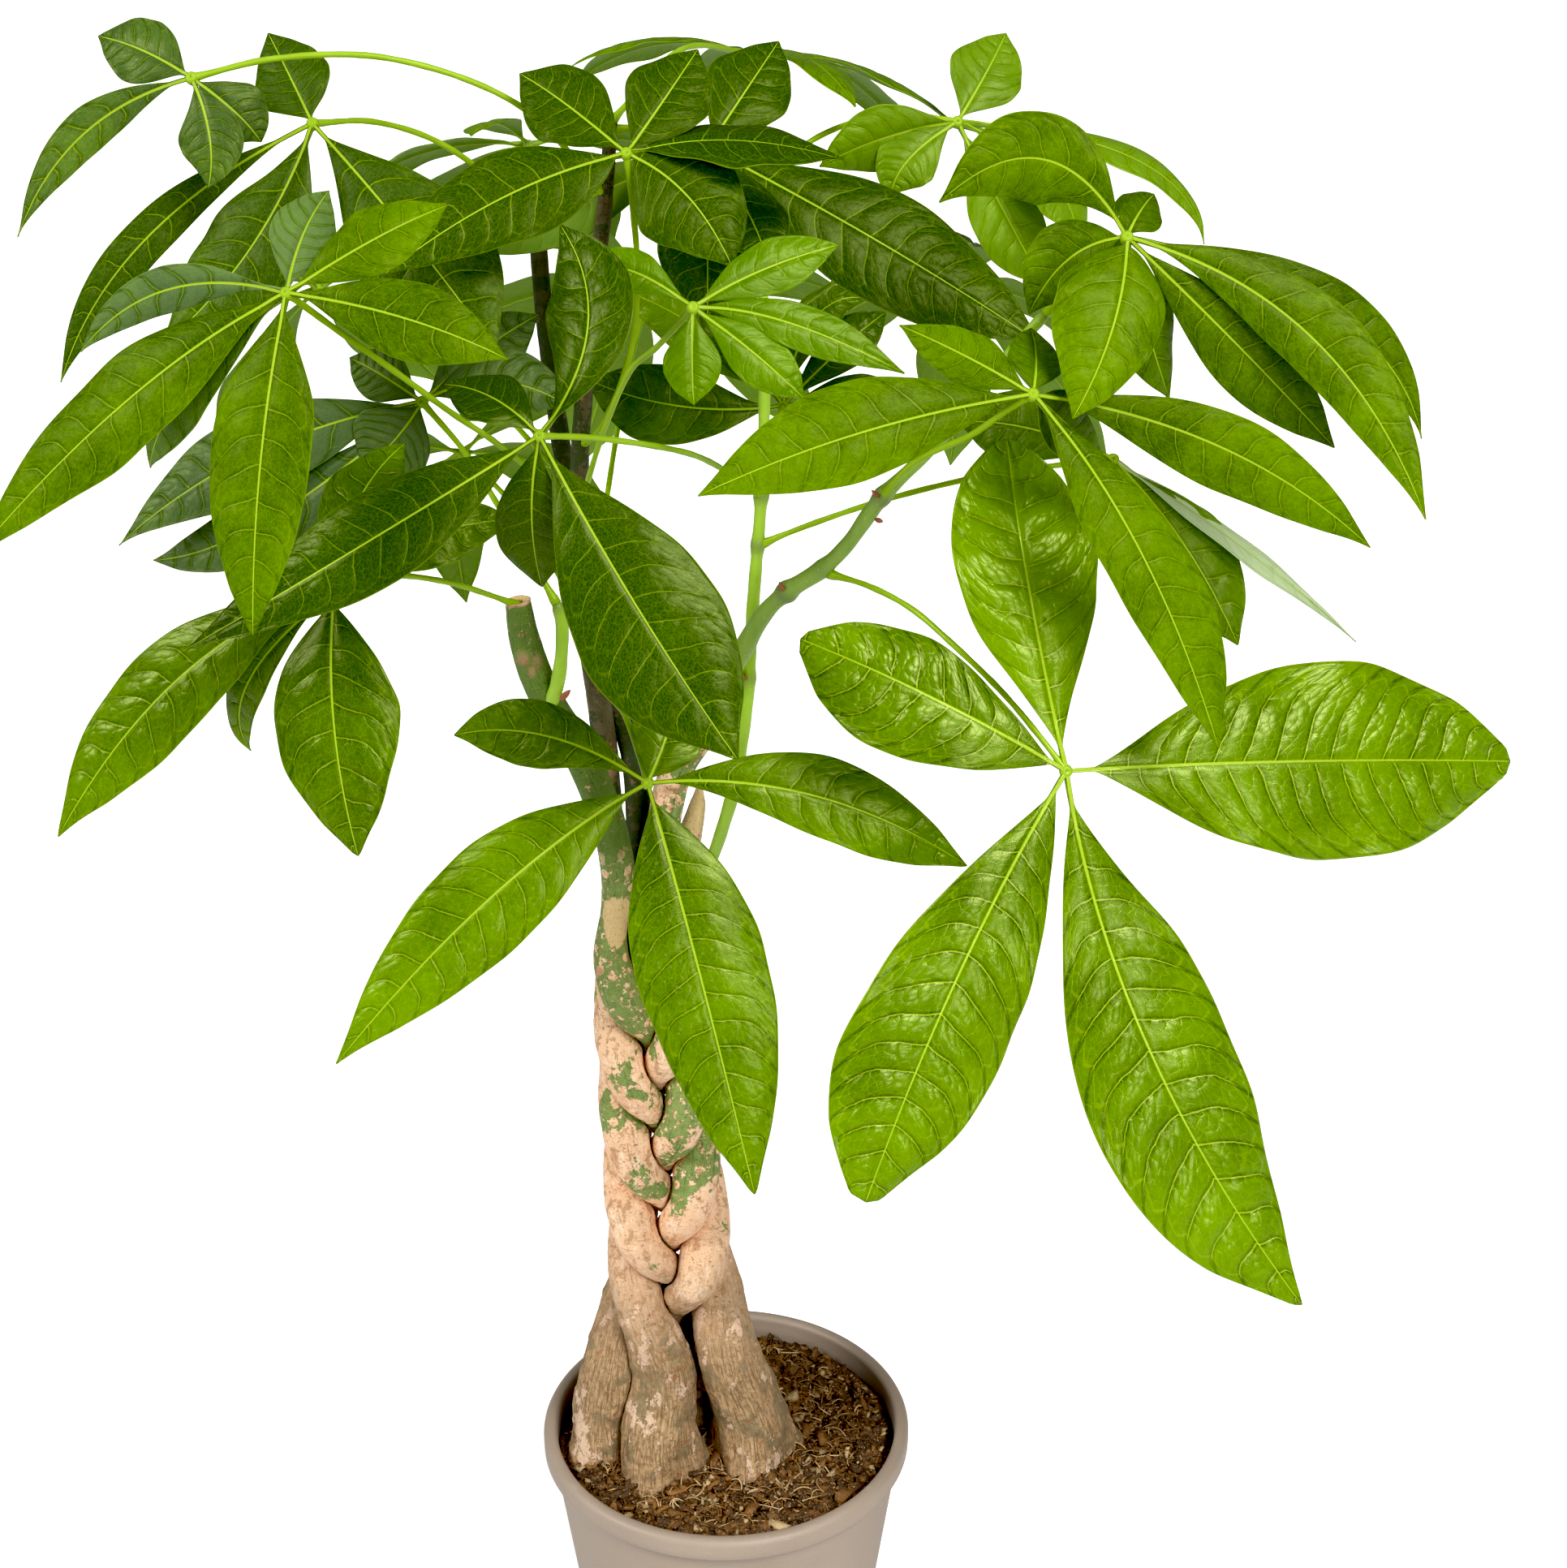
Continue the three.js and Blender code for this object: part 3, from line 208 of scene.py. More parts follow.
# Leaves read in the view. "hub" is where the leaflets meet; the blades lie near a plane through it that
# leans back by "lean" per unit of height and "swing" per unit to the right; "droop" bends the tips.
# "turn" rolls a leaflet on its midrib, "left" gives its left half another outline, "skew" makes its right
# half the wider one, and "ahead" sets it behind the leaf's plane.
VIEW_LEAVES = [
    leaf("leaf_front_right", (1314, 950, -128), lean=0.5, swing=0.2, droop=18,
         tone=0.56, quilt=1, matte=0, veins=0.85, ruffle=0.08, fold=0.06,
         petiole=[(1021, 707, -48), (1070, 722, -62), (1123, 750, -78), (1170, 790, -92),
                  (1236, 854, -108), (1284, 911, -122)],
         leaflets=[
        blade(1241, 540, 1268, 724, 54, "blunt", skew=0.06, tone=0.2),
        blade(986, 787, 1154, 862, 44, "blunt", left="full", skew=-0.14, tone=-0.15),
        blade(1067, 1482, 1182, 1200, 58, "club", left="full"),
        blade(1605, 1608, 1414, 1288, 63, "late", left="oval"), blade(1862, 938, 1595, 938, 74, "paddle")]),
    leaf("leaf_front_low", (798, 965, -96), lean=0.52, swing=0, droop=15,
         tone=0.48, quilt=0.55, matte=0.1, veins=0.6, speck=0.15,
         petiole=[(730, 806, 3), (745, 850, -22), (768, 878, -50), (784, 920, -76)],
         leaflets=[
        blade(559, 906, 674, 907, 26, "broad"), blade(414, 1311, 608, 1103, 41, "oval"),
        blade(930, 1472, 864, 1206, 50, "early", skew=-0.05),
        blade(1192, 1067, 1002, 980, 31, "late", left="oval"), blade(850, 815, 824, 900, 28, "lance")]),
    leaf("leaf_left_centre", (665, 537, -112), lean=0.58, swing=-0.12, droop=14,
         tone=0.04, quilt=0.5, veins=0.3,
         petiole=[(937, 610, -8), (880, 572, -40), (846, 558, -58), (784, 546, -80), (723, 539, -98)],
         leaflets=[
        blade(690, 277, 724, 402, 33, "broad", turn=12, tone=-0.3),
        blade(547, 473, 608, 490, 24, "oval", turn=-30), blade(224, 803, 452, 668, 34, "lance"),
        blade(909, 936, 779, 738, 54, "broad"), blade(668, 724, 655, 636, 28, "broad", ahead=34)]),
    leaf("leaf_right_centre", (1273, 486, -118), lean=0.6, swing=0.24, droop=13,
         tone=0.45, quilt=0.35, matte=0.7, veins=0.4,
         petiole=[(1086, 611, -61), (1131, 567, -80), (1200, 534, -98), (1240, 506, -110)],
         leaflets=[
        blade(860, 611, 1064, 532, 34, "oval", skew=0.08),
        blade(1689, 675, 1507, 552, 27, "oval", turn=-20, skew=0.08),
        blade(1502, 922, 1404, 676, 31, "early", left="late", skew=-0.08),
        blade(1108, 400, 1195, 441, 20, "oval", ahead=10),
        blade(1271, 403, 1277, 442, 20, "oval", ahead=14),
        blade(1362, 570, 1312, 520, 22, "oval", ahead=26)]),
    leaf("leaf_right_upper", (1389, 292, -92), lean=0.8, swing=0.2, droop=12,
         tone=0.38, quilt=0.5, matte=0.6,
         petiole=[(1289, 386, -54), (1320, 352, -66), (1356, 318, -82)],
         leaflets=[
        blade(1322, 516, 1372, 402, 39, "base", skew=0.15),
        blade(1757, 640, 1615, 414, 27, "oval", turn=-20, skew=-0.12),
        blade(1158, 250, 1284, 196, 32, "oval", turn=35), blade(1423, 238, 1404, 262, 18, "oval"),
        blade(1645, 552, 1520, 420, 27, "broad", turn=-25, ahead=34, tone=-0.15),
        blade(1752, 541, 1646, 388, 22, "lance", turn=-20, ahead=24),
        blade(1268, 388, 1318, 318, 28, "oval", ahead=30),
        blade(1442, 492, 1412, 395, 24, "oval", ahead=44)]),
    leaf("leaf_left_upper", (353, 361, -118), lean=0.66, swing=-0.26, droop=14,
         tone=0.4, quilt=0.35, matte=0.7,
         petiole=[(717, 640, 6), (682, 603, -18), (612, 546, -52), (551, 505, -72), (490, 460, -90),
                  (424, 413, -106)],
         leaflets=[
        blade(406, 234, 373, 290, 22, "oval", turn=-30, grey=0.6), blade(552, 252, 458, 296, 24, "oval"),
        blade(626, 443, 496, 391, 27, "oval"), blade(311, 783, 321, 566, 37, "early", skew=0.06),
        blade(-36, 690, 160, 490, 33, "oval"), blade(99, 434, 206, 357, 16, "oval", turn=30, grey=0.6),
        blade(184, 577, 228, 480, 22, "oval", ahead=40, grey=0.3)]),
    leaf("leaf_young", (854, 379, -72), lean=0.6, swing=0.05, droop=4, tone=0.34, quilt=0.25, ruffle=0.04,
         petiole=[(716, 622, 7), (727, 584, -10), (742, 536, -22), (764, 481, -36), (780, 452, -44),
                  (809, 428, -56)],
         leaflets=[
        blade(729, 328, 785, 336, 17, "broad"), blade(1035, 301, 936, 334, 20, "broad"),
        blade(1115, 460, 968, 396, 17, "broad"), blade(992, 492, 926, 432, 20, "broad"),
        blade(855, 499, 853, 440, 21, "broad")]),
    leaf("leaf_left_low", (412, 728, -86), lean=0.55, swing=-0.22, droop=14,
         tone=0.34, quilt=0.7, matte=0.1, veins=0.5,
         petiole=[(638, 746, -16), (606, 734, -26), (545, 716, -46), (470, 710, -70)],
         leaflets=[
        blade(441, 1055, 411, 890, 48, "early"), blade(71, 1031, 224, 832, 36, "broad"),
        blade(309, 926, 306, 840, 15, "oval", ahead=30), blade(634, 642, 530, 660, 24, "oval", ahead=10),
        blade(500, 545, 440, 620, 30, "oval", ahead=24)]),
    leaf("leaf_left_middle", (520, 495, 12), lean=0.6, swing=-0.1, droop=8, tone=0.2, grey=0.55, quilt=1,
         petiole=[(686, 744, -30), (650, 682, -22), (612, 620, -12), (575, 560, 0)],
         leaflets=[
        blade(446, 582, 490, 538, 34, "broad", turn=30), blade(146, 672, 310, 560, 34, "lance"),
        blade(188, 690, 330, 640, 26, "oval", ahead=22), blade(700, 500, 610, 470, 28, "broad", ahead=6),
        blade(664, 387, 594, 432, 27, "oval", ahead=10), blade(430, 440, 470, 462, 22, "oval")]),
    leaf("leaf_left_top", (385, 152, 6), lean=0.7, swing=-0.15, droop=8, tone=0.1, grey=0.1, matte=0.6,
         petiole=[(662, 280, 58), (610, 225, 52), (540, 175, 42), (460, 150, 26)],
         leaflets=[
        blade(75, 471, 180, 294, 17, "oval", turn=25), blade(196, 428, 308, 306, 40, "oval"),
        blade(612, 432, 503, 289, 50, "broad"), blade(330, 40, 360, 100, 30, "oval")]),
    leaf("leaf_far_left", (236, 96, -14), lean=0.7, swing=-0.15, droop=8, tone=0.2, grey=0.25,
         petiole=[(746, 240, 16), (640, 130, 6), (480, 72, -2), (340, 72, -8)],
         leaflets=[
        blade(22, 292, 102, 166, 16, "lance", turn=30), blade(256, 232, 258, 168, 24, "oval"),
        blade(120, 44, 176, 62, 26, "oval"), blade(322, 176, 290, 138, 24, "oval", ahead=12)]),
    leaf("leaf_top_centre", (772, 189, -28), lean=0.75, swing=0, droop=6, tone=0, matte=0.6,
         petiole=[(716, 548, 8), (736, 532, 0), (766, 470, -8), (783, 400, -14), (785, 320, -20),
                  (779, 250, -26)],
         leaflets=[
        blade(473, 338, 622, 242, 36, "oval", left="base"), blade(902, 328, 846, 240, 42, "early"),
        blade(640, 90, 700, 130, 32, "oval"), blade(860, 60, 820, 120, 32, "oval"),
        blade(1040, 196, 900, 172, 34, "oval", turn=40)]),
    leaf("leaf_top_right", (872, 182, 30), lean=0.75, swing=0.1, droop=8, tone=0, matte=0.5,
         petiole=[(752, 160, 20), (790, 158, 22), (830, 168, 26)],
         leaflets=[
        blade(1285, 424, 1084, 298, 46, "oval"), blade(946, 322, 920, 258, 28, "broad", ahead=-34),
        blade(598, 314, 706, 252, 26, "oval", ahead=30, under=0.9),
        blade(872, 395, 872, 290, 38, "broad", ahead=10), blade(960, 50, 920, 110, 34, "oval")]),
    leaf("leaf_right_top", (1180, 150, 62), lean=0.75, swing=0.15, droop=8, tone=0.75, grey=0.15,
         petiole=[(932, 268, 16), (942, 236, 44), (990, 180, 62), (1060, 148, 66), (1120, 142, 65)],
         leaflets=[
        blade(1485, 301, 1400, 196, 20, "lance", turn=35),
        blade(1330, 304, 1290, 214, 34, "oval", turn=30),
        blade(1286, 350, 1236, 258, 30, "broad", ahead=24), blade(1098, 243, 1120, 196, 24, "oval"),
        blade(1010, 206, 1090, 170, 26, "oval", turn=40), blade(1240, 40, 1215, 90, 30, "oval")]),
    leaf("leaf_middle_back", (965, 500, 62), lean=0.6, swing=0.05, droop=8, tone=0.2,
         petiole=[(939, 590, -7), (946, 560, 20), (956, 528, 44)],
         leaflets=[
        blade(722, 466, 836, 500, 34, "broad"), blade(1092, 384, 1036, 430, 20, "broad"),
        blade(1072, 368, 1004, 392, 18, "oval", ahead=-12), blade(880, 330, 912, 410, 30, "oval"),
        blade(752, 352, 866, 408, 26, "oval", ahead=14, tone=0.6),
        blade(1150, 520, 1060, 500, 28, "oval")]),
    leaf("leaf_right_back", (1372, 566, -10), lean=0.55, swing=0.2, droop=8, tone=0.35, grey=0.1,
         petiole=[(936, 672, -10), (968, 658, -12), (1070, 622, -16), (1190, 591, -16), (1290, 575, -14)],
         leaflets=[
        blade(1672, 790, 1524, 668, 17, "lance", turn=45, under=1, grey=0.9),
        blade(1526, 795, 1460, 672, 36, "broad"), blade(1180, 520, 1270, 528, 30, "broad", ahead=24)]),
]

# Leaves of the far side and the top, set round the crown: name, hub, the way they face (degrees round from
# the viewer's side, to the right), how far they tip up, the turn of their fan, the reach, width and number
# of their leaflets, and the stem they grow from, with the share of the way along it.
CROWN_LEAVES = [
    ("leaf_back_left", (-172, 122, 655), 222, 42, 10, 112, 36, 5, "trunk_front", 0.72),
    ("leaf_back_right", (92, 150, 650), 146, 40, -15, 116, 38, 6, "shoot_middle", 0.84),
    ("leaf_back_middle", (-34, 205, 634), 178, 38, 20, 122, 40, 5, "trunk_front", 0.6),
    ("leaf_back_high", (-84, 168, 706), 195, 58, 30, 100, 34, 5, "trunk_front", 0.97),
    ("leaf_back_low", (-112, 104, 588), 215, 30, -8, 84, 28, 5, "trunk_front", 0.5),
    ("leaf_crown", (12, 112, 756), 150, 74, 10, 104, 34, 6, "trunk_back", 1),
]

# A leaflet's outline: how far along it is widest, how slowly it opens from its stalk, and how slowly it
# closes to its tip.
SHAPES = {
    "oval": (0.5, 1.15, 0.95),
    "lance": (0.46, 1.1, 1.2),
    "broad": (0.58, 1.25, 0.9),
    "blunt": (0.6, 1.15, 0.55),
    "paddle": (0.56, 1.15, 0.6),
    "late": (0.66, 1.15, 0.8),
    "club": (0.7, 1.2, 0.5),
    "full": (0.58, 0.9, 0.55),
    "early": (0.44, 0.92, 0.8),
    "base": (0.36, 0.65, 0.85),
}


# ---- places ----
def sight_line(point):
    """The way from the view's eye through a picture point."""
    across, down = point[0] - VIEW_CENTRE[0], point[1] - VIEW_CENTRE[1]
    cos, sin = math.cos(VIEW_PITCH), math.sin(VIEW_PITCH)
    return np.array([across, VIEW_FOCAL * cos - down * sin, -VIEW_FOCAL * sin - down * cos])


def seen(point):
    """The place at depth point[2] that the view shows at a picture point."""
    line = sight_line(point)
    return VIEW_EYE + line * ((point[2] - VIEW_EYE[1]) / line[1])


def seen_on_leaf(point, hub, leaf, behind):
    """The place on a leaf's leaning plane that the view shows at a picture point."""
    line = sight_line(point)
    rest = hub[1] - VIEW_EYE[1] + behind
    rest += leaf["swing"] * (VIEW_EYE[0] - hub[0]) + leaf["lean"] * (VIEW_EYE[2] - hub[2])
    return VIEW_EYE + line * (rest / (line[1] - leaf["swing"] * line[0] - leaf["lean"] * line[2]))


def unit(vectors):
    vectors = np.asarray(vectors, float)
    return vectors / np.maximum(np.linalg.norm(vectors, axis=-1, keepdims=True), 1e-9)


def ease(low, high, value):
    """0 below low, 1 above high, smooth between them. low may be the larger one."""
    share = np.clip((np.asarray(value, float) - low) / (high - low), 0, 1)
    return share * share * (3 - 2 * share)


def angles(sides):
    return TURN * np.arange(sides) / sides


def run_along(places):
    """How far along a line each of its places lies."""
    return np.concatenate([[0], np.cumsum(np.linalg.norm(np.diff(places, axis=0), axis=1))])


def curve_through(points, radii, step):
    """Places, radii and directions every step along a centripetal Catmull-Rom curve."""
    points = np.asarray(points, float)
    ends = [2 * points[0] - points[1], *points, 2 * points[-1] - points[-2]]
    dense, dense_radii = [], []
    for span in range(len(points) - 1):
        p0, p1, p2, p3 = ends[span:span + 4]
        d0, d1, d2 = (math.sqrt(np.linalg.norm(b - a)) for a, b in ((p0, p1), (p1, p2), (p2, p3)))
        start = ((p1 - p0) / d0 - (p2 - p0) / (d0 + d1) + (p2 - p1) / d1) * d1
        end = ((p2 - p1) / d1 - (p3 - p1) / (d1 + d2) + (p3 - p2) / d2) * d1
        for t in np.arange(24) / 24:
            turn = 3 * t ** 2 - 2 * t ** 3
            bow = start * (t - 2 * t ** 2 + t ** 3) + end * (t ** 3 - t ** 2)
            dense.append(p1 * (1 - turn) + p2 * turn + bow)
            dense_radii.append(radii[span] * (1 - t) + radii[span + 1] * t)
    dense = np.array([*dense, points[-1]])
    run = run_along(dense)
    at = np.linspace(0, run[-1], max(4, int(run[-1] / step)))
    places = np.stack([np.interp(at, run, dense[:, axis]) for axis in range(3)], 1)
    return places, np.interp(at, run, [*dense_radii, radii[-1]]), unit(np.gradient(places, axis=0))


def noise_over(points, scale, seed):
    """Smooth noise from about -1 to 1 at each point."""
    flat = np.asarray(points, float).reshape(-1, 3) * scale + seed * 17.3
    return np.array([noise.noise(Vector(place)) for place in flat]).reshape(np.shape(points)[:-1])


# ---- meshes ----
class Pile:
    """The points, faces and named values of one piece, gathered part by part."""

    def __init__(self, *names):
        self.points, self.quads, self.triangles = [], [], []
        self.values = {name: [] for name in names}
        self.count = 0

    def add(self, points, quads=(), triangles=(), **values):
        points = np.asarray(points, float).reshape(-1, 3)
        self.quads.append(np.asarray(quads, int).reshape(-1, 4) + self.count)
        self.triangles.append(np.asarray(triangles, int).reshape(-1, 3) + self.count)
        self.points.append(points)
        for name, kept in self.values.items():
            given = np.asarray(values.get(name, (0, 0, 0)), float)
            kept.append(np.broadcast_to(given, (len(points), 3)))
        self.count += len(points)

    def mesh(self, name):
        points = np.concatenate(self.points) * MM
        quads, triangles = np.concatenate(self.quads), np.concatenate(self.triangles)
        corners = np.concatenate([quads.ravel(), triangles.ravel()])
        starts = np.concatenate([np.arange(len(quads)) * 4, len(quads) * 4 + np.arange(len(triangles)) * 3])
        mesh = bpy.data.meshes.new(name)
        mesh.vertices.add(len(points))
        mesh.vertices.foreach_set("co", points.astype(np.float32).ravel())
        mesh.loops.add(len(corners))
        mesh.loops.foreach_set("vertex_index", corners.astype(np.int32))
        mesh.polygons.add(len(starts))
        mesh.polygons.foreach_set("loop_start", starts.astype(np.int32))
        for value, kept in self.values.items():
            layer = mesh.attributes.new(value, "FLOAT_VECTOR", "POINT")
            layer.data.foreach_set("vector", np.concatenate(kept).astype(np.float32).ravel())
        mesh.update(calc_edges=True)
        mesh.shade_smooth()
        return mesh


def place_object(name, data):
    made = bpy.data.objects.new(name, data)
    bpy.context.scene.collection.objects.link(made)
    return made


def make_piece(name, pile, material, node):
    piece = place_object(name, pile.mesh(name))
    piece.data.materials.append(material)
    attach(piece, "root")
    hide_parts(node)
    return piece


def triples(shape, first, second, third):
    """Three numbers for each row and column. A flat list of numbers holds one for each row."""
    parts = [np.broadcast_to(part[:, None] if np.ndim(part) == 1 else part, shape[:2])
             for part in (first, second, third)]
    return np.stack(parts, -1).astype(float)


def sheet_quads(rows, columns, wrap=False):
    """Faces of rows x columns points. wrap joins the last column to the first."""
    row = np.arange(rows - 1)[:, None] * columns
    column = np.arange(columns if wrap else columns - 1)[None, :]
    a = row + column
    b = row + (column + 1) % columns
    return np.stack([a, b, b + columns, a + columns], -1).reshape(-1, 4)


def round_rings(places, directions, radii, sides, first=(1, 0, 0)):
    """Rings of points round a curve, carried along it without twist."""
    held, rings = np.asarray(first, float), []
    cos, sin = np.cos(angles(sides))[:, None], np.sin(angles(sides))[:, None]
    for place, along, radius in zip(places, directions, radii):
        held = unit(held - along * held.dot(along))
        rings.append(place + (held * cos + np.cross(along, held) * sin) * radius)
    return np.array(rings)


def add_tube(pile, rings, **values):
    """A closed tube through rings, with a fan at each end. values hold one row per ring and side."""
    count, sides = rings.shape[:2]
    ends = [rings[0].mean(0), rings[-1].mean(0)]
    points = np.concatenate([rings.reshape(-1, 3), ends])
    side = np.arange(sides)
    after = (side + 1) % sides
    first, last = count * sides, (count - 1) * sides
    start = np.stack([np.full(sides, first), after, side], 1)
    end = np.stack([np.full(sides, first + 1), last + side, last + after], 1)
    full = {}
    for name, value in values.items():
        value = np.broadcast_to(np.asarray(value, float), (count, sides, 3))
        full[name] = np.concatenate([value.reshape(-1, 3), [value[0, 0], value[-1, 0]]])
    pile.add(points, sheet_quads(count, sides, wrap=True), np.concatenate([start, end]), **full)


# ---- node graphs ----
class Signal:
    """What a node gives out. Sums and products of signals and numbers make Math nodes."""

    def __init__(self, graph, socket):
        self.graph, self.socket = graph, socket

    def __add__(self, other):
        return self.graph.do("ADD", self, other)

    def __radd__(self, other):
        return self.graph.do("ADD", other, self)

    def __sub__(self, other):
        return self.graph.do("SUBTRACT", self, other)

    def __rsub__(self, other):
        return self.graph.do("SUBTRACT", other, self)

    def __mul__(self, other):
        return self.graph.do("MULTIPLY", self, other)

    def __truediv__(self, other):
        return self.graph.do("DIVIDE", self, other)

    def __pow__(self, other):
        return self.graph.do("POWER", self, other)

    def __abs__(self):
        return self.graph.do("ABSOLUTE", self)


class Graph:
    """A material's node graph, with a short call for each kind of node used here."""

    def __init__(self, name):
        self.material = bpy.data.materials.new(name)
        self.material.use_nodes = True
        self.tree = self.material.node_tree
        self.tree.nodes.clear()

    def node(self, kind, inputs, output=0, **settings):
        """Makes a node and gives its output. A colour may leave out its alpha."""
        made = self.tree.nodes.new("ShaderNode" + kind)
        for key, value in settings.items():
            setattr(made, key, value)
        for key, value in inputs.items():
            socket = made.inputs[key]
            if isinstance(value, Signal):
                self.tree.links.new(value.socket, socket)
            else:
                socket.default_value = (*value, 1) if socket.type == "RGBA" else value
        return Signal(self, made.outputs[output]) if len(made.outputs) else None

    def do(self, operation, a, b=0, c=0):
        return self.node("Math", {0: a, 1: b, 2: c}, operation=operation)

    def ease(self, value, low, high, to_low=0, to_high=1):
        inputs = {"Value": value, "From Min": low, "From Max": high, "To Min": to_low, "To Max": to_high}
        return self.node("MapRange", inputs, interpolation_type="SMOOTHSTEP")

    def mix(self, share, a, b):
        return self.node("Mix", {0: share, 6: a, 7: b}, 2, data_type="RGBA")

    def layers(self, base, *layers):
        """A colour with others laid over it in turn, each for a share."""
        for share, tint in layers:
            base = self.mix(share, base, tint)
        return base

    def attribute(self, name):
        return self.node("Attribute", {}, "Vector", attribute_name=name)

    def values(self, name):
        """The three numbers that a mesh holds under a name."""
        split = self.node("SeparateXYZ", {0: self.attribute(name)}).socket.node
        return [Signal(self, part) for part in split.outputs]

    def vector(self, x, y):
        return self.node("CombineXYZ", {0: x, 1: y})

    def place(self):
        return self.node("TexCoord", {}, "Object")

    def noise(self, vector, scale, detail=3, roughness=0.55, stretch=None):
        if stretch:
            vector = self.node("Mapping", {"Vector": vector, "Scale": stretch})
        inputs = {"Vector": vector, "Scale": scale, "Detail": detail, "Roughness": roughness}
        return self.node("TexNoise", inputs)

    def cells(self, vector, scale, feature="F1"):
        return self.node("TexVoronoi", {"Vector": vector, "Scale": scale}, "Distance", feature=feature)

    def bump(self, height, strength, distance, **more):
        return self.node("Bump", {"Height": height, "Strength": strength, "Distance": distance, **more})

    def surface(self, skin, roughness, specular, through=None, **more):
        """Finishes the material. through is the colour of light that shines through it."""
        inputs = {"Base Color": skin, "Roughness": roughness, "Specular IOR Level": specular, **more}
        shader = self.node("BsdfPrincipled", inputs)
        if through:
            glow = self.node("BsdfTranslucent", {"Color": through, "Normal": more["Normal"]})
            shader = self.node("MixShader", {0: THROUGH_SHARE, 1: shader, 2: glow})
        self.node("OutputMaterial", {"Surface": shader})
        return self.material


# ---- materials ----
def leaf_material(name, dark, light, vein, matte):
    """Waxy blades with a pale midrib, looped side veins and a fine net, paler underneath, with painted shade
    in the vein grooves and a painted grey sheen.
    """
    g = Graph(name)
    order, across, share = g.values("blade")
    under, stalk, along = g.values("kind")
    tone, grey, speck = g.values("look")
    puffed, ribbing, _ = g.values("relief")
    place, reach = g.place(), abs(share)

    bent = order + (g.noise(place, 110, 2) - 0.5) * 0.16
    from_vein = abs(g.do("FRACT", bent + 0.5) - 0.5)
    side_vein = g.ease(from_vein / g.ease(reach, 0.1, 0.8, 0.036, 0.024), 1, 0.3) * g.ease(reach, 0.88, 0.74)
    loop = g.ease(abs(reach - (0.72 + (from_vein * 2) ** 0.6 * 0.15)), 0.022, 0.006)
    veins = g.do("MAXIMUM", side_vein, loop * 0.3) * ribbing
    rib_width = (0.62 - along * 0.46) * (0.75 + ribbing * 0.5)
    rib = g.ease(abs(across) * 10 / rib_width, 1.15, 0.65)
    net_place = g.vector(bent * 1.1, across)
    net = g.ease(g.cells(net_place, 2.6, "DISTANCE_TO_EDGE"), 0.05, 0.01) * ribbing
    fine_net = g.ease(g.cells(net_place, 8, "DISTANCE_TO_EDGE"), 0.12, 0.02)

    mottle = g.noise(place, 26, 5, 0.62) - 0.5
    fine = g.noise(place, 420) - 0.5
    # hollow darkens the blade next to each side vein: painted shade in the grooves.
    hollow = (g.ease(from_vein, 0.02, 0.17) - 0.9) * ribbing
    shade = tone + mottle + fine * 0.3 + hollow * 0.38 + (along - 0.5) * 0.25
    # The grey look paints a reflection: a grey-green sheen over the blade, darker beside the veins.
    painted_sheen = g.mix(g.ease(from_vein, 0.03, 0.22), (0.07, 0.115, 0.055), (0.165, 0.23, 0.14))
    dots = g.ease(g.cells(place, 330), 0.26, 0.16) * g.ease(g.noise(place, 60), 0.42, 0.56)
    ribbed = g.do("MAXIMUM", veins, net * 0.4) * 0.5
    # Underneath, the grey look paints a pale grey-green sheen: painted light on the underside.
    below = g.mix(ribbed, g.mix(grey, (0.19, 0.33, 0.045), (0.52, 0.63, 0.36)), vein)
    rib_colour = g.mix(g.noise(place, 160), vein, (0.42, 0.60, 0.05))
    stem = g.mix(g.noise(place, 90, 4), (0.24, 0.42, 0.015), (0.42, 0.62, 0.04))
    skin = g.layers(
        g.mix(g.ease(shade, 0, 1), dark, light), (g.ease(shade, 1, 1.8, 0, 0.7), (0.33, 0.50, 0.10)),
        (fine_net * 0.10, vein), (net * 0.16, vein), (grey * 0.7, painted_sheen), (veins * 0.9, vein),
        (g.ease(reach, 0.972, 0.997) * 0.3, vein), (dots * speck, (0.42, 0.55, 0.16)), (under, below),
        (rib * 0.9, rib_colour), (stalk, stem))

    roughness = 0.20 + g.noise(place, 150) * 0.16 + (under + grey + matte * 1.6) * 0.16
    inner = g.ease(reach, 0.02, 0.2) * g.ease(reach, 1, 0.86) * g.ease(along, 0.1, 0.75, 0.12, 1)
    crease = (1 - from_vein * 2) ** 5 * g.ease(reach, 0.9, 0.65)
    sunk = crease * 0.42 + g.cells(net_place, 2.6) ** 2 * 0.42 + g.noise(place, 80, 1.5) * 0.95
    pressed = g.bump(sunk * inner * (0.25 + puffed) * -1, 1, 0.0009)
    relief = g.noise(place, 700) * 0.4 - fine_net * 0.3 - net * 0.6
    normal = g.bump(relief, 0.7, 0.00005, Normal=pressed)
    glow = g.mix(0.35, skin, (0.34, 0.58, 0.01))
    tint = {"Specular Tint": (0.88, 1.0, 0.35)}
    return g.surface(skin, roughness, 0.62 - matte * 0.5, glow, Normal=normal, **tint)


def pink_bark(g, broad, streak, ring, blotch):
    """The braid's bark: pinkish beige, streaked along it and ringed across it."""
    return g.layers(
        g.mix(broad, (0.86, 0.47, 0.25), (1.0, 0.73, 0.49)),
        (g.ease(streak, 0.54, 0.74, 0, 0.8), (0.42, 0.24, 0.12)),
        (g.ease(ring, 0.60, 0.74, 0, 0.6), (0.36, 0.20, 0.10)),
        (g.ease(blotch, 0.52, 0.60, 0, 0.65), (0.46, 0.225, 0.105)),
        (g.ease(blotch, 0.43, 0.38, 0, 0.6), (1.0, 0.80, 0.63)))


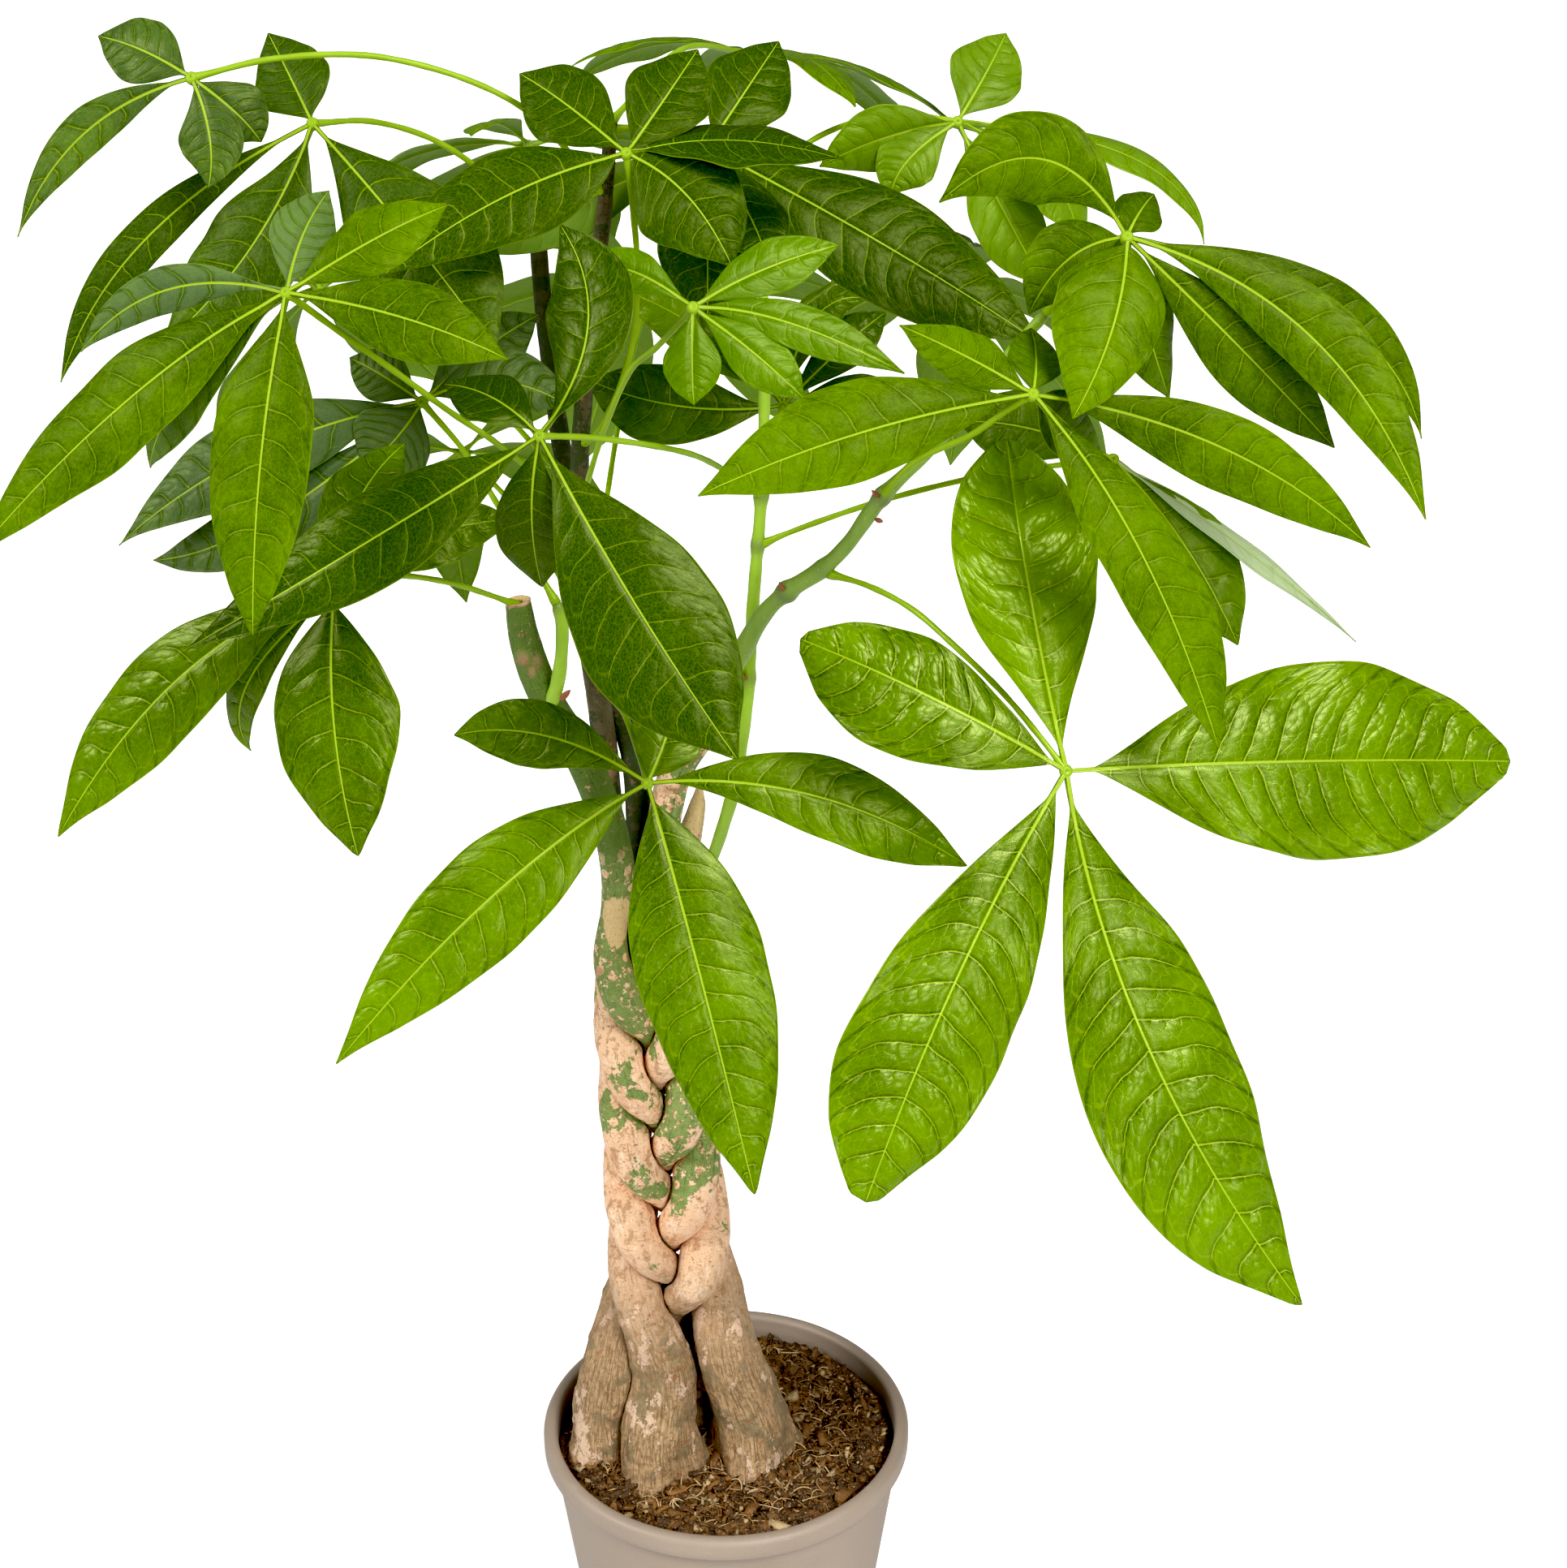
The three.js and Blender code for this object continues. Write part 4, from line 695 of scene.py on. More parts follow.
def brown_bark(g, place, streak, thread, fine, flakes):
    """The feet's bark: brown and fibrous, with grey clouds, pale flakes and rusty spots."""
    return g.layers(
        g.mix(streak, (0.33, 0.20, 0.09), (0.88, 0.60, 0.33)),
        (g.ease(thread, 0.47, 0.60, 0, 0.7), (0.145, 0.078, 0.036)),
        (g.ease(g.noise(place, 90, 4), 0.50, 0.62, 0, 0.75), (0.27, 0.215, 0.115)),
        (g.ease(g.noise(place, 420, 4, 0.7), 0.50, 0.58, 0, 0.45), (0.20, 0.105, 0.045)),
        (flakes, g.mix(fine, (0.72, 0.47, 0.30), (0.93, 0.70, 0.50))),
        (g.ease(g.noise(place, 210), 0.62, 0.68) * 0.7, (0.40, 0.17, 0.075)))


def green_patches(g, place, green, young, blotch):
    """Where the bark is green: ragged patches that spread with height, and nearly all of a young stem."""
    amount = g.noise(place, 46, 5, 0.66) + (green - 0.5) * 0.36
    patch = g.ease(amount, 0.515, 0.53) * g.ease(g.cells(place, 105), 0.20, 0.25)
    patch = patch * g.ease(g.noise(place, 330, 3, 0.7), 0.60, 0.56)
    return g.do("MAXIMUM", patch, young * g.ease(blotch, 0.59, 0.55))


def bark_material():
    """Pinkish-beige bark with green patches above, grey-brown and fibrous at the foot, darkened as painted
    shade in the seams where strands press.
    """
    g = Graph("bark")
    green, pale, scar = g.values("marks")
    dark, rough, press = g.values("state")
    fibre, place = g.attribute("fibre"), g.place()
    streak = g.noise(fibre, 2.2, 5, 0.65, stretch=(3.2, 3.2, 0.35))
    ring = g.noise(fibre, 1.6, 4, 0.6, stretch=(0.25, 0.25, 3.4))
    thread = g.noise(fibre, 2.6, 6, 0.72, stretch=(10, 10, 0.35))
    specks = g.ease(g.noise(fibre, 3.4, 4, 0.7, stretch=(2, 2, 3)), 0.60, 0.66)
    blotch = g.noise(place, 240, 5, 0.68, stretch=(1, 1, 0.6))
    flakes = g.ease(g.noise(place, 80, 5, 0.68, stretch=(1, 1, 0.55)), 0.57, 0.595)
    broad, fine = g.noise(place, 55, 4), g.noise(place, 900)
    young = g.ease(green, 1.1, 1.4)

    patch = green_patches(g, place, green, young, blotch)
    leafy = g.layers(
        g.mix(g.noise(place, 260, 4), (0.13, 0.19, 0.045), (0.34, 0.43, 0.13)),
        (young * 0.85, g.mix(broad, (0.05, 0.10, 0.012), (0.16, 0.25, 0.045))),
        (g.ease(streak, 0.50, 0.68, 0, 0.7), (0.085, 0.11, 0.035)))
    wood = g.mix(streak, (0.045, 0.042, 0.019), (0.024, 0.050, 0.014))
    wood = g.mix(g.ease(g.noise(place, 200), 0.62, 0.70, 0, 0.7), wood, (0.20, 0.12, 0.055))
    torn = g.ease(pale + (streak - 0.5) * 0.5 + (broad - 0.5) * 1.6, 0.42, 0.50) * g.ease(pale, 0.05, 0.2)
    bark = g.layers(
        pink_bark(g, broad, streak, ring, blotch),
        (rough, brown_bark(g, place, streak, thread, fine, flakes)), (specks * 0.75, (0.34, 0.19, 0.095)),
        (patch, leafy), (dark, wood), (torn, g.mix(thread, (0.92, 0.72, 0.36), (0.66, 0.42, 0.18))),
        (scar, g.mix(fine, (0.22, 0.10, 0.045), (0.58, 0.34, 0.20))),
        # Where strands press together the bark goes nearly black: painted shade in the seams between them.
        (g.ease(press, 0.35, 0.8, 0, 0.92), (0.055, 0.03, 0.015)))

    relief = streak * (0.4 + rough) + ring * 0.5 - thread * rough * 1.3 + flakes * rough * 0.5
    relief = relief + fine * 0.25 - specks * 0.4 - patch * 0.2
    return g.surface(bark, 0.56 + (rough + fine) * 0.15, 0.25, Normal=g.bump(relief, 0.9, 0.0014))


def shoot_material():
    """Smooth green stem, yellower above, with pale specks and darker joints."""
    g = Graph("green_shoot")
    old, joint, bud = g.values("marks")
    place = g.place()
    grain = g.noise(place, 220, 4, stretch=(1, 1, 0.3))
    specks = g.ease(g.cells(place, 420), 0.20, 0.10)
    skin = g.layers(
        g.mix(grain, (0.26, 0.46, 0.02), (0.42, 0.64, 0.05)),
        (old, g.mix(grain, (0.12, 0.22, 0.035), (0.26, 0.37, 0.075))),
        (joint * 0.7, (0.13, 0.17, 0.05)), (specks * 0.4, (0.50, 0.52, 0.25)),
        (bud, g.mix(grain, (0.20, 0.055, 0.025), (0.36, 0.13, 0.05))))
    normal = g.bump(grain + specks * 0.4, 0.4, 0.0005)
    return g.surface(skin, 0.36 + grain * 0.2, 0.45, Normal=normal)


def soil_material():
    """Damp coco and peat: dark crumbs with tan and rusty bits."""
    g = Graph("potting_soil")
    light, red, _ = g.values("grain")
    place = g.place()
    grain, clod = g.noise(place, 900, 4, 0.7), g.noise(place, 150, 4)
    skin = g.layers(
        g.mix(clod, (0.011, 0.0075, 0.005), (0.155, 0.085, 0.042)),
        (g.ease(grain, 0.57, 0.66), (0.64, 0.43, 0.24)),
        (red, g.mix(grain, (0.13, 0.055, 0.018), (0.46, 0.23, 0.075))),
        (light, g.mix(grain, (0.42, 0.27, 0.12), (0.86, 0.66, 0.36))))
    return g.surface(skin, 0.72 + grain * 0.2, 0.25, Normal=g.bump(grain + clod, 1, 0.0009))


def pot_material():
    """Taupe nursery-pot plastic: satin, faintly mottled, with scuffs, painted shade inside, and dark soil
    splashes with painted shade.
    """
    g = Graph("pot_plastic")
    place = g.place()
    inside, _, _ = g.values("inside")
    level = g.node("SeparateXYZ", {0: place}, 2)
    cloud, grain = g.noise(place, 22, 5), g.noise(place, 1400, 2)
    scuff = g.ease(g.noise(place, 90, 6, 0.7, stretch=(1, 1, 7)), 0.60, 0.70)
    splash_and_shade = g.ease(g.noise(place, 160, 4), 0.48, 0.60) * g.ease(level, 0.152, 0.141)
    skin = g.layers(
        g.mix(cloud, (0.30, 0.23, 0.17), (0.41, 0.325, 0.25)), (grain * 0.35, (0.17, 0.135, 0.112)),
        # The inside is darkened as painted shade; the dark blotches above the soil are soil splashes and
        # painted shade.
        (scuff * 0.4, (0.40, 0.35, 0.31)), (inside * 0.3, (0.12, 0.09, 0.07)),
        (splash_and_shade * inside * 0.7, (0.05, 0.034, 0.022)))
    normal = g.bump(grain + cloud * 0.6, 0.25, 0.0004)
    return g.surface(skin, 0.40 + (scuff + cloud) * 0.16, 0.45, Normal=normal)


def floor_material():
    """A pale sweep that glows a little, as a lit table does."""
    g = Graph("studio_floor")
    pale = g.mix(g.noise(g.place(), 3), (0.78, 0.78, 0.78), (0.82, 0.82, 0.82))
    seen_glow = g.node("LightPath", {}, "Is Camera Ray") * FLOOR_GLOW
    return g.surface(pale, 0.9, 0.1, **{"Emission Color": pale, "Emission Strength": seen_glow})


# ---- leaves ----
def half_width(leaflet, t, side):
    """How far a blade reaches: side is 1 for the right half, seen from its stalk, and -1 for the left."""
    shape = leaflet["shape"] if side > 0 else leaflet.get("left", leaflet["shape"])
    widest, opening, closing = SHAPES[shape]
    along = np.clip((t - STALK_SHARE) / (1 - STALK_SHARE), 0, 1)
    grow = np.sin(np.pi / 2 * np.clip(along / widest, 0, 1)) ** opening
    close = np.cos(np.pi / 2 * np.clip((along - widest) / (1 - widest), 0, 1)) ** closing
    return leaflet["width"] / 2 * np.where(along < widest, grow, close) * (1 + side * leaflet.get("skew", 0))


def blade_lines(hub, via, tip, leaflet, face, rows):
    """The midrib's places, and the directions right and up at each, with the blade's roll."""
    control = 2 * via - hub / 2 - tip / 2
    t = np.linspace(0, 1, rows)[:, None]
    middle = (1 - t) ** 2 * hub + 2 * t * (1 - t) * control + t ** 2 * tip
    along = unit((1 - t) * (control - hub) + t * (tip - control))
    side = unit(np.cross(along, face))
    up = np.cross(side, along)
    roll = math.radians(leaflet.get("turn", 0))
    right = side * math.cos(roll) + up * math.sin(roll)
    top = up * math.cos(roll) - side * math.sin(roll)
    return t, middle[:, None], right[:, None], top[:, None]


def wave(random, fewest, most, t, shift=0):
    """A wave of a random length and start."""
    return np.sin(TURN * (random.uniform(fewest, most) * t + shift + random.random()))


def blade_width(leaflet, t, right_side, random):
    """How far the blade reaches on the point's side, and on both sides on average, scalloped a little."""
    taper = 1 - 0.16 * ease(0.86, 0.97, t) * ease(1, 0.97, t)
    sides = []
    for side in (1, -1):
        scallop = 1 + 0.02 * wave(random, 1.4, 2.4, t) + 0.008 * wave(random, 4, 6, t)
        least = np.where(t < 0.5, 0.85, 0.3)
        sides.append(np.maximum(half_width(leaflet, t, side) * scallop * taper, least))
    return np.where(right_side, *sides), sum(sides) / 2


def vein_order(veins, slope, t, reach, right_side, random):
    """Which side veins a point lies between, counted from the stalk. The veins curve forward."""
    warp = 0.12 * wave(random, 0.8, 1.6, t) + 0.06 * wave(random, 2.4, 3.6, t, 0.8 * reach)
    slant = slope * (0.34 * reach + 0.50 * reach ** 4)
    return veins * (t - slant) + warp + np.where(right_side, random.random(), random.random())


def blade_puff(order, t, reach, right_side, random):
    """How far the blade rises between its side veins, each cell by its own strength."""
    cell = np.floor(order).astype(int) + np.where(right_side, 40, 80)
    strength = random.uniform(0.45, 1.25, 160)[np.clip(cell, 0, 159)]
    puff = 1 - np.abs(2 * (order - np.floor(order)) - 1) ** 2.2
    spread = ease(0.02, 0.3, reach) * ease(1, 0.72, reach) * ease(0.06, 0.22, t) * ease(1, 0.9, t)
    return puff * strength * spread * (0.35 + 0.65 * t)


def rim_quads(rows, columns):
    """Faces that close the edge between an upper sheet and the lower one that follows it."""
    rim = np.concatenate([
        np.arange(columns), np.arange(1, rows) * columns + columns - 1,
        (rows - 1) * columns + np.arange(columns - 2, -1, -1), np.arange(rows - 2, 0, -1) * columns])
    after, below = np.roll(rim, -1), rows * columns
    return np.stack([after, rim, rim + below, after + below], 1)


def add_leaflet(pile, hub, via, tip, leaflet, face, look, random):
    """One leaflet: a thin closed blade, puffed up between its side veins and wavy at its margin."""
    length = np.linalg.norm(tip - hub) * 1.05
    veins = int(np.clip(round(length / VEIN_SPACING), 8, 17))
    t, middle, right, top = blade_lines(hub, via, tip, leaflet, face, veins * ROWS_PER_VEIN + 1)
    s = np.array([-share for share in reversed(HALF_COLUMNS)] + [0.0] + list(HALF_COLUMNS))[None]
    reach, right_side = np.abs(s), s > 0
    width, half = blade_width(leaflet, t, right_side, random)
    order = vein_order(veins, width / length, t, reach, right_side, random)

    quilt = look["quilt"] * np.minimum(half, 24) * PUFF * blade_puff(order, t, reach, right_side, random)
    ruffle = np.where(right_side, wave(random, 2.2, 3.4, t), wave(random, 2.2, 3.4, t)) * reach ** 2.5
    bend = look["fold"] * (reach - reach ** 2) - CUP * reach ** 2 + look["ruffle"] * ruffle
    lift = half * bend + quilt
    from_rib = reach * width
    groove = GROOVE_DEPTH * np.exp(-(from_rib / GROOVE_WIDTH) ** 2) * ease(0, 0.1, t)
    rib_height = (RIB_AT_STALK - RIB_LOST * t) * np.exp(-from_rib ** 2)
    thickness = BLADE_THICKNESS + 1.3 * ease(0.1, 0.02, t) - 0.2 * ease(0.9, 1, reach)

    base = middle + right * (s * width)[..., None]
    upper = base + top * (lift - groove + thickness / 2)[..., None]
    lower = base + top * (lift - rib_height - thickness / 2)[..., None]
    rows, columns = upper.shape[:2]
    quads = sheet_quads(rows, columns)
    blade = triples(upper.shape, order, s * width / 10, s)
    kinds = [triples(upper.shape, under, 0, t) for under in (leaflet.get("under", 0), 1)]
    tone = look["tone"] + leaflet.get("tone", 0) + random.uniform(-0.06, 0.06)
    pile.add(np.concatenate([upper, lower]),
             np.concatenate([quads, quads[:, ::-1] + rows * columns, rim_quads(rows, columns)]),
             blade=np.concatenate([blade, blade]).reshape(-1, 3), kind=np.concatenate(kinds).reshape(-1, 3),
             # The second look value is the share of painted grey sheen.
             look=(tone, leaflet.get("grey", look["grey"]), leaflet.get("speck", look["speck"])),
             relief=(look["quilt"], look["veins"], 0))


def add_stalks(pile, points, hub, face, tone):
    """A leaf's stalk, swollen at both ends, and the knob where the leaflets meet, with a dent on top."""
    green = {"kind": (0, 1, 0), "look": (tone, 0, 0)}
    points = [*points, hub]
    places, radii, directions = curve_through(points, [PETIOLE_RADIUS] * len(points), PETIOLE_STEP)
    run = np.linspace(0, 1, len(places)) * len(places) * PETIOLE_STEP
    swell = 1 + 0.75 * np.exp(-(run / 5.5) ** 2) + 0.35 * np.exp(-((run[-1] - run) / 5) ** 2)
    lumps = 1 + 0.05 * np.sin(run * 0.31) + 0.03 * np.sin(run * 0.83)
    add_tube(pile, round_rings(places, directions, radii * swell * lumps, 12), **green)
    profile = np.array([(1.0, -0.9), (1.12, -0.25), (1.0, 0.3), (0.72, 0.62), (0.4, 0.66), (0.18, 0.5)])
    places = hub + face * HUB_RADIUS * 0.75 * profile[:, 1:]
    rings = round_rings(places, [face] * len(profile), HUB_RADIUS * 0.78 * profile[:, 0], 16)
    add_tube(pile, rings, **green)


def leaf_start(name):
    """What every leaf starts from: its own random numbers, and an empty pile."""
    return np.random.default_rng(sum(map(ord, name))), Pile("blade", "kind", "look", "relief")


@functools.cache
def leaf_finish(slot, matte):
    """The material for leaves of one age and one finish, made when it is first asked for."""
    return leaf_material(f"{slot}_matte_{matte:.1f}", *LEAF_COLOURS[slot], matte)


def build_view_leaf(leaf):
    random, pile = leaf_start(leaf["name"])
    look, hub = leaf["looks"], seen(leaf["hub"])
    face = unit([leaf["swing"], -1, leaf["lean"]])
    for leaflet in leaf["leaflets"]:
        behind = leaflet.get("ahead", 0)
        tip = seen_on_leaf(leaflet["tip"], hub, leaf, leaf["droop"] + behind)
        via = seen_on_leaf(leaflet["via"], hub, leaf, behind / 2)
        add_leaflet(pile, hub, via, tip, leaflet, face, look, random)
    add_stalks(pile, [seen(point) for point in leaf["petiole"]], hub, face, look["tone"])
    slot = "young_leaf" if leaf["name"] == "leaf_young" else "leaf"
    make_piece(leaf["name"] + ".blade", pile, leaf_finish(slot, look["matte"]), leaf["name"])


def build_crown_leaf(name, hub, facing, tip_up, spin, longest, widest, count, stem, share):
    random, pile = leaf_start(name)
    start, hub = route_point(stem, share), np.array(hub, float)
    around, tip_up = math.radians(facing), math.radians(tip_up)
    out = np.array([math.sin(around), -math.cos(around), 0])
    face = out * math.cos(tip_up) + np.array([0, 0, math.sin(tip_up)])
    side = unit(np.cross([0, 0, 1], face))
    uphill = np.cross(side, face)
    for at in range(count):
        angle = math.radians(spin + 300 / count * (at - (count - 1) / 2))
        way = uphill * math.cos(angle) + side * math.sin(angle)
        reach = longest * (0.82 + 0.18 * math.cos(angle))
        leaflet = {"width": widest * (0.8 + 0.2 * math.cos(angle)), "shape": "broad"}
        tip = hub + way * reach - face * 0.22 * reach
        add_leaflet(pile, hub, hub + way * reach * 0.52, tip, leaflet, face, USUAL_LOOKS, random)
    add_stalks(pile, [start, (start + hub) / 2 + [0, 0, 14]], hub, face, USUAL_LOOKS["tone"])
    make_piece(name + ".blade", pile, leaf_finish("leaf", USUAL_LOOKS["matte"]), name)


# ---- trunks ----
def looseness(z):
    return float(ease(TIGHT_ABOVE, LOOSE_BELOW, z))


def on_the_way(pair, z):
    """A value at a height, from a pair that holds it at the soil and at the braid's top."""
    rise = min(max((z - SOIL_TOP) / (BRAID_TOP - SOIL_TOP), 0), 1)
    return pair[0] + (pair[1] - pair[0]) * rise


def strand_place(trunk, z):
    """The middle of a strand: it weaves across the braid once while it goes in and out twice."""
    turns = (BRAID_PHASE_HEIGHT - z) / BRAID_PERIOD
    angle = math.radians(BRAID_TURN + trunk["phase"] + 360 * turns)
    across, depth = on_the_way(SWING_ACROSS, z), on_the_way(SWING_DEPTH, z)
    braided = np.array([across * math.cos(angle), -depth * math.sin(2 * angle)])
    axis = np.array([on_the_way(AXIS_ACROSS, z), on_the_way(AXIS_DEPTH, z)])
    return axis + braided + (np.array(trunk["foot"]) - braided) * looseness(z)


def strand_level(trunk, z, angle):
    """Radii round one level of a strand, pressed in softly where its neighbours lean on it."""
    centre = strand_place(trunk, z)
    free = on_the_way(STRAND_RADIUS, z) + FOOT_SWELL * looseness(z)
    out = np.stack([np.cos(angle), np.sin(angle)], 1)
    softness = 1.6
    crowd = np.exp(-softness * np.full(len(angle), free))
    for other in TRUNKS:
        if other is not trunk:
            to_other = strand_place(other, z) - centre
            distance = np.linalg.norm(to_other)
            towards = out @ to_other / distance
            limit = np.where(towards > 0.05, (distance - PRESS_GAP) / 2 / np.maximum(towards, 0.05), 1e3)
            crowd += np.exp(-softness * np.minimum(limit, 400))
    return centre, -np.log(crowd) / softness, free


def braid_rings(trunk, angle):
    """The strand's rings up to the braid's top, and how hard each point is pressed."""
    rings, press = [], []
    for z in np.arange(TRUNK_ROOT, STEM_START, BRAID_STEP):
        centre, radius, free = strand_level(trunk, z, angle)
        x, y = centre[0] + np.cos(angle) * radius, centre[1] + np.sin(angle) * radius
        rings.append(np.stack([x, y, np.full(len(angle), z)], 1))
        press.append(np.clip((free - radius) / free * 2.2, 0, 1))
    return np.array(rings), np.array(press)


def stem_rings(trunk, angle):
    """The free stem above the braid, which grows out of the strand's top level."""
    start = [[*strand_place(trunk, z), z] for z in (STEM_START, BRAID_TOP)]
    points = [*start, *map(seen, trunk["stem"])]
    radii = [*STEM_START_RADII, *(point[3] for point in trunk["stem"])]
    places, radii, directions = curve_through(points, radii, STEM_STEP)
    _, radius, _ = strand_level(trunk, STEM_START, angle)
    near = ease(STEM_BLEND, 0, np.arange(len(places)) * STEM_STEP)[:, None, None]
    flat = np.stack([np.cos(angle), np.sin(angle), 0 * angle], 1)
    rings = round_rings(places, directions, radii, len(angle))
    level = places[:, None] + flat[None] * radius[None, :, None]
    return rings * (1 - near) + level * near


def bark_lumps(out, run, rough, seed):
    """How far each point stands out: broad lumps, creases across the strand, and ridges along its foot."""
    def lumps(across, along, number, scale=1):
        return noise_over(surface_places(out, across, run / along) * scale, 1, seed + number)

    lump = lumps(1.3, 15, 0) * (0.55 + 0.5 * rough) + lumps(0.8, 2.6, 1) * 0.22
    lump += lumps(5.5, 42, 2) * (0.12 + 0.85 * rough) + lumps(5.5, 42, 4, 2.3) * 0.5 * rough
    return lump + np.maximum(lumps(3.2, 6, 3) - 0.12, 0) * 1.6 * rough


def surface_places(out, across, along):
    """Places for a pattern that is stretched along a stem instead of along the height."""
    rise = np.broadcast_to(along[:, None, None], out[..., :1].shape)
    return np.concatenate([out[..., :2] * across, rise], -1)


def build_trunk(index, trunk, material):
    seed, angle = index * 5 + 1, angles(TRUNK_SIDES)
    braid, press = braid_rings(trunk, angle)
    stem = stem_rings(trunk, angle)
    rings = np.concatenate([braid, stem])
    spine = rings.mean(1)
    run, height = run_along(spine), spine[:, 2]
    press = np.concatenate([press, press[-1] * ease(30, 0, np.arange(len(stem)) * STEM_STEP)[:, None]])
    above = run - run[len(braid)]

    rough = ease(*ROUGH_BARK, height)[:, None]
    lobes = 0.5 + 0.5 * np.cos(angle * 3 + seed)[None]
    flare = FLARE_SIZE * ease(*FLARE, height)[:, None] ** 1.6 * lobes
    slim = np.where(np.arange(len(rings)) < len(braid), 1.0, 0.6)[:, None]
    out = unit(rings - spine[:, None])
    lumps = bark_lumps(out, run, rough, seed) * slim * (1 - 0.6 * press)
    rings = rings + out * (lumps + flare * (1 - press))[..., None]

    green = ease(*GREEN_BARK, height) * trunk["green"] + ease(20, 110, above) * trunk["stem_green"]
    marks = triples(rings.shape, green, 0, 0)
    # The press value also sets the painted shade in the braid's seams.
    state = triples(rings.shape, ease(0, 24, above) * trunk["stem_dark"], rough, press)
    for place, kind, size, grow in trunk["marks"]:
        away = (rings - seen(place)) / np.asarray(size)
        share = np.exp(-(away ** 2).sum(-1) ** 1.5)
        rings = rings + out * (share * grow)[..., None]
        channel = 1 if kind == "pale" else 2
        marks[..., channel] = np.maximum(marks[..., channel], share)
    if trunk["torn"]:
        marks[..., 1] = np.maximum(marks[..., 1], ease(trunk["torn"], 0, run[-1] - run)[:, None])
    fibre = surface_places(unit(rings - spine[:, None]), 1.1, run / 10)
    pile = Pile("fibre", "marks", "state")
    add_tube(pile, rings, fibre=fibre, marks=marks, state=state)
    if trunk["pruned"]:
        add_cut_face(pile, rings[-1])
    make_piece(trunk["name"] + ".bark", pile, material, trunk["name"])


def add_cut_face(pile, ring):
    """A pruned end: a raised rim of bark round pale wood, with a dark pith in a hollow."""
    centre = ring.mean(0)
    along = unit(np.cross(ring[0] - centre, ring[len(ring) // 4] - centre))
    # The share of the ring's radius, the rise, and how pale and how dark it is, from the rim to the pith.
    steps = np.array([(1.0, -0.4, 0, 0.8), (1.04, 0.7, 0.3, 0.5), (0.93, 1.0, 0.7, 0.2), (0.82, 0.4, 1, 0),
                      (0.6, 0.25, 1, 0), (0.42, 0.1, 0.8, 0.5), (0.3, -0.5, 0.3, 1), (0.14, -0.9, 0.1, 1)])
    rings = centre + (ring - centre) * steps[:, :1, None] + along * steps[:, 1:2, None]
    add_tube(pile, rings, fibre=rings / 10, marks=triples(rings.shape, 0, steps[:, 2], steps[:, 3]))


# ---- shoots ----
def build_shoot(shoot, material):
    points, radii = [seen(point) for point in shoot["route"]], [point[3] for point in shoot["route"]]
    places, radii, directions = curve_through(points, radii, SHOOT_STEP)
    old = ease(shoot["old_to"], shoot["old_to"] - 90, places[:, 2]) * shoot["old"]
    joint = np.zeros(len(places))
    for mark in shoot["joints"]:
        joint = np.maximum(joint, np.exp(-(np.linalg.norm(places - seen(mark), axis=1) / JOINT_REACH) ** 2))
    count = np.arange(len(places))
    radii = radii * (1 + 0.05 * np.sin(count * 0.23) + 0.03 * np.sin(count * 0.61) + 0.32 * joint)
    radii[-3:] *= (0.9, 0.7, 0.4)
    rings = round_rings(places, directions, radii, 20)
    pile = Pile("marks")
    add_tube(pile, rings, marks=triples(rings.shape, old, joint, 0))
    for start, end, radius in shoot["buds"]:
        add_bud(pile, seen(start), seen(end), radius)
    make_piece(shoot["name"] + ".stem", pile, material, shoot["name"])


def add_bud(pile, start, end, radius):
    """A small pointed bud or stipule."""
    steps = np.linspace(0, 1, 8)
    places = start + (end - start) * steps[:, None]
    shape = radius * np.sin(np.pi * np.clip(steps * 0.82 + 0.16, 0, 1)) ** 0.8
    rings = round_rings(places, [unit(end - start)] * len(steps), np.maximum(shape, 0.08), 10)
    add_tube(pile, rings, marks=(0, 0, 1))


def route_point(name, share):
    """The place a share of the way along the free part of a trunk or shoot, span by span."""
    stem = next(item for item in TRUNKS + SHOOTS if item["name"] == name)
    points = [seen(point) for point in stem.get("stem") or stem["route"]]
    at = share * (len(points) - 1)
    span = min(int(at), len(points) - 2)
    return points[span] + (points[span + 1] - points[span]) * (at - span)


# ---- soil ----
def soil_height(x, y):
    """How high the soil's clods and crumbs stand."""
    places = np.stack([x, y, 0 * x], -1)
    height = noise_over(places, 0.05, 3) * 2.0 + noise_over(places, 0.16, 4) * 3.6
    return height + noise_over(places, 0.45, 5) * 2.2 + 2.0


def soil_level(radius, edge):
    """The height of the smoothed soil, which sinks a little towards the pot's wall."""
    return SOIL_TOP + 0.6 - SOIL_DIP * ease(edge - SOIL_DIP_WIDTH, edge, radius)


def inner_radius(z):
    """The radius of the pot's inside at a height."""
    low, high = WALL + ROUNDING, POT_HEIGHT - LIP_HEIGHT - ROUNDING
    share = (z - low) / (high - low)
    return (BASE_RADIUS - WALL) * (1 - share) + (RIM_RADIUS - LIP_WIDTH) * share


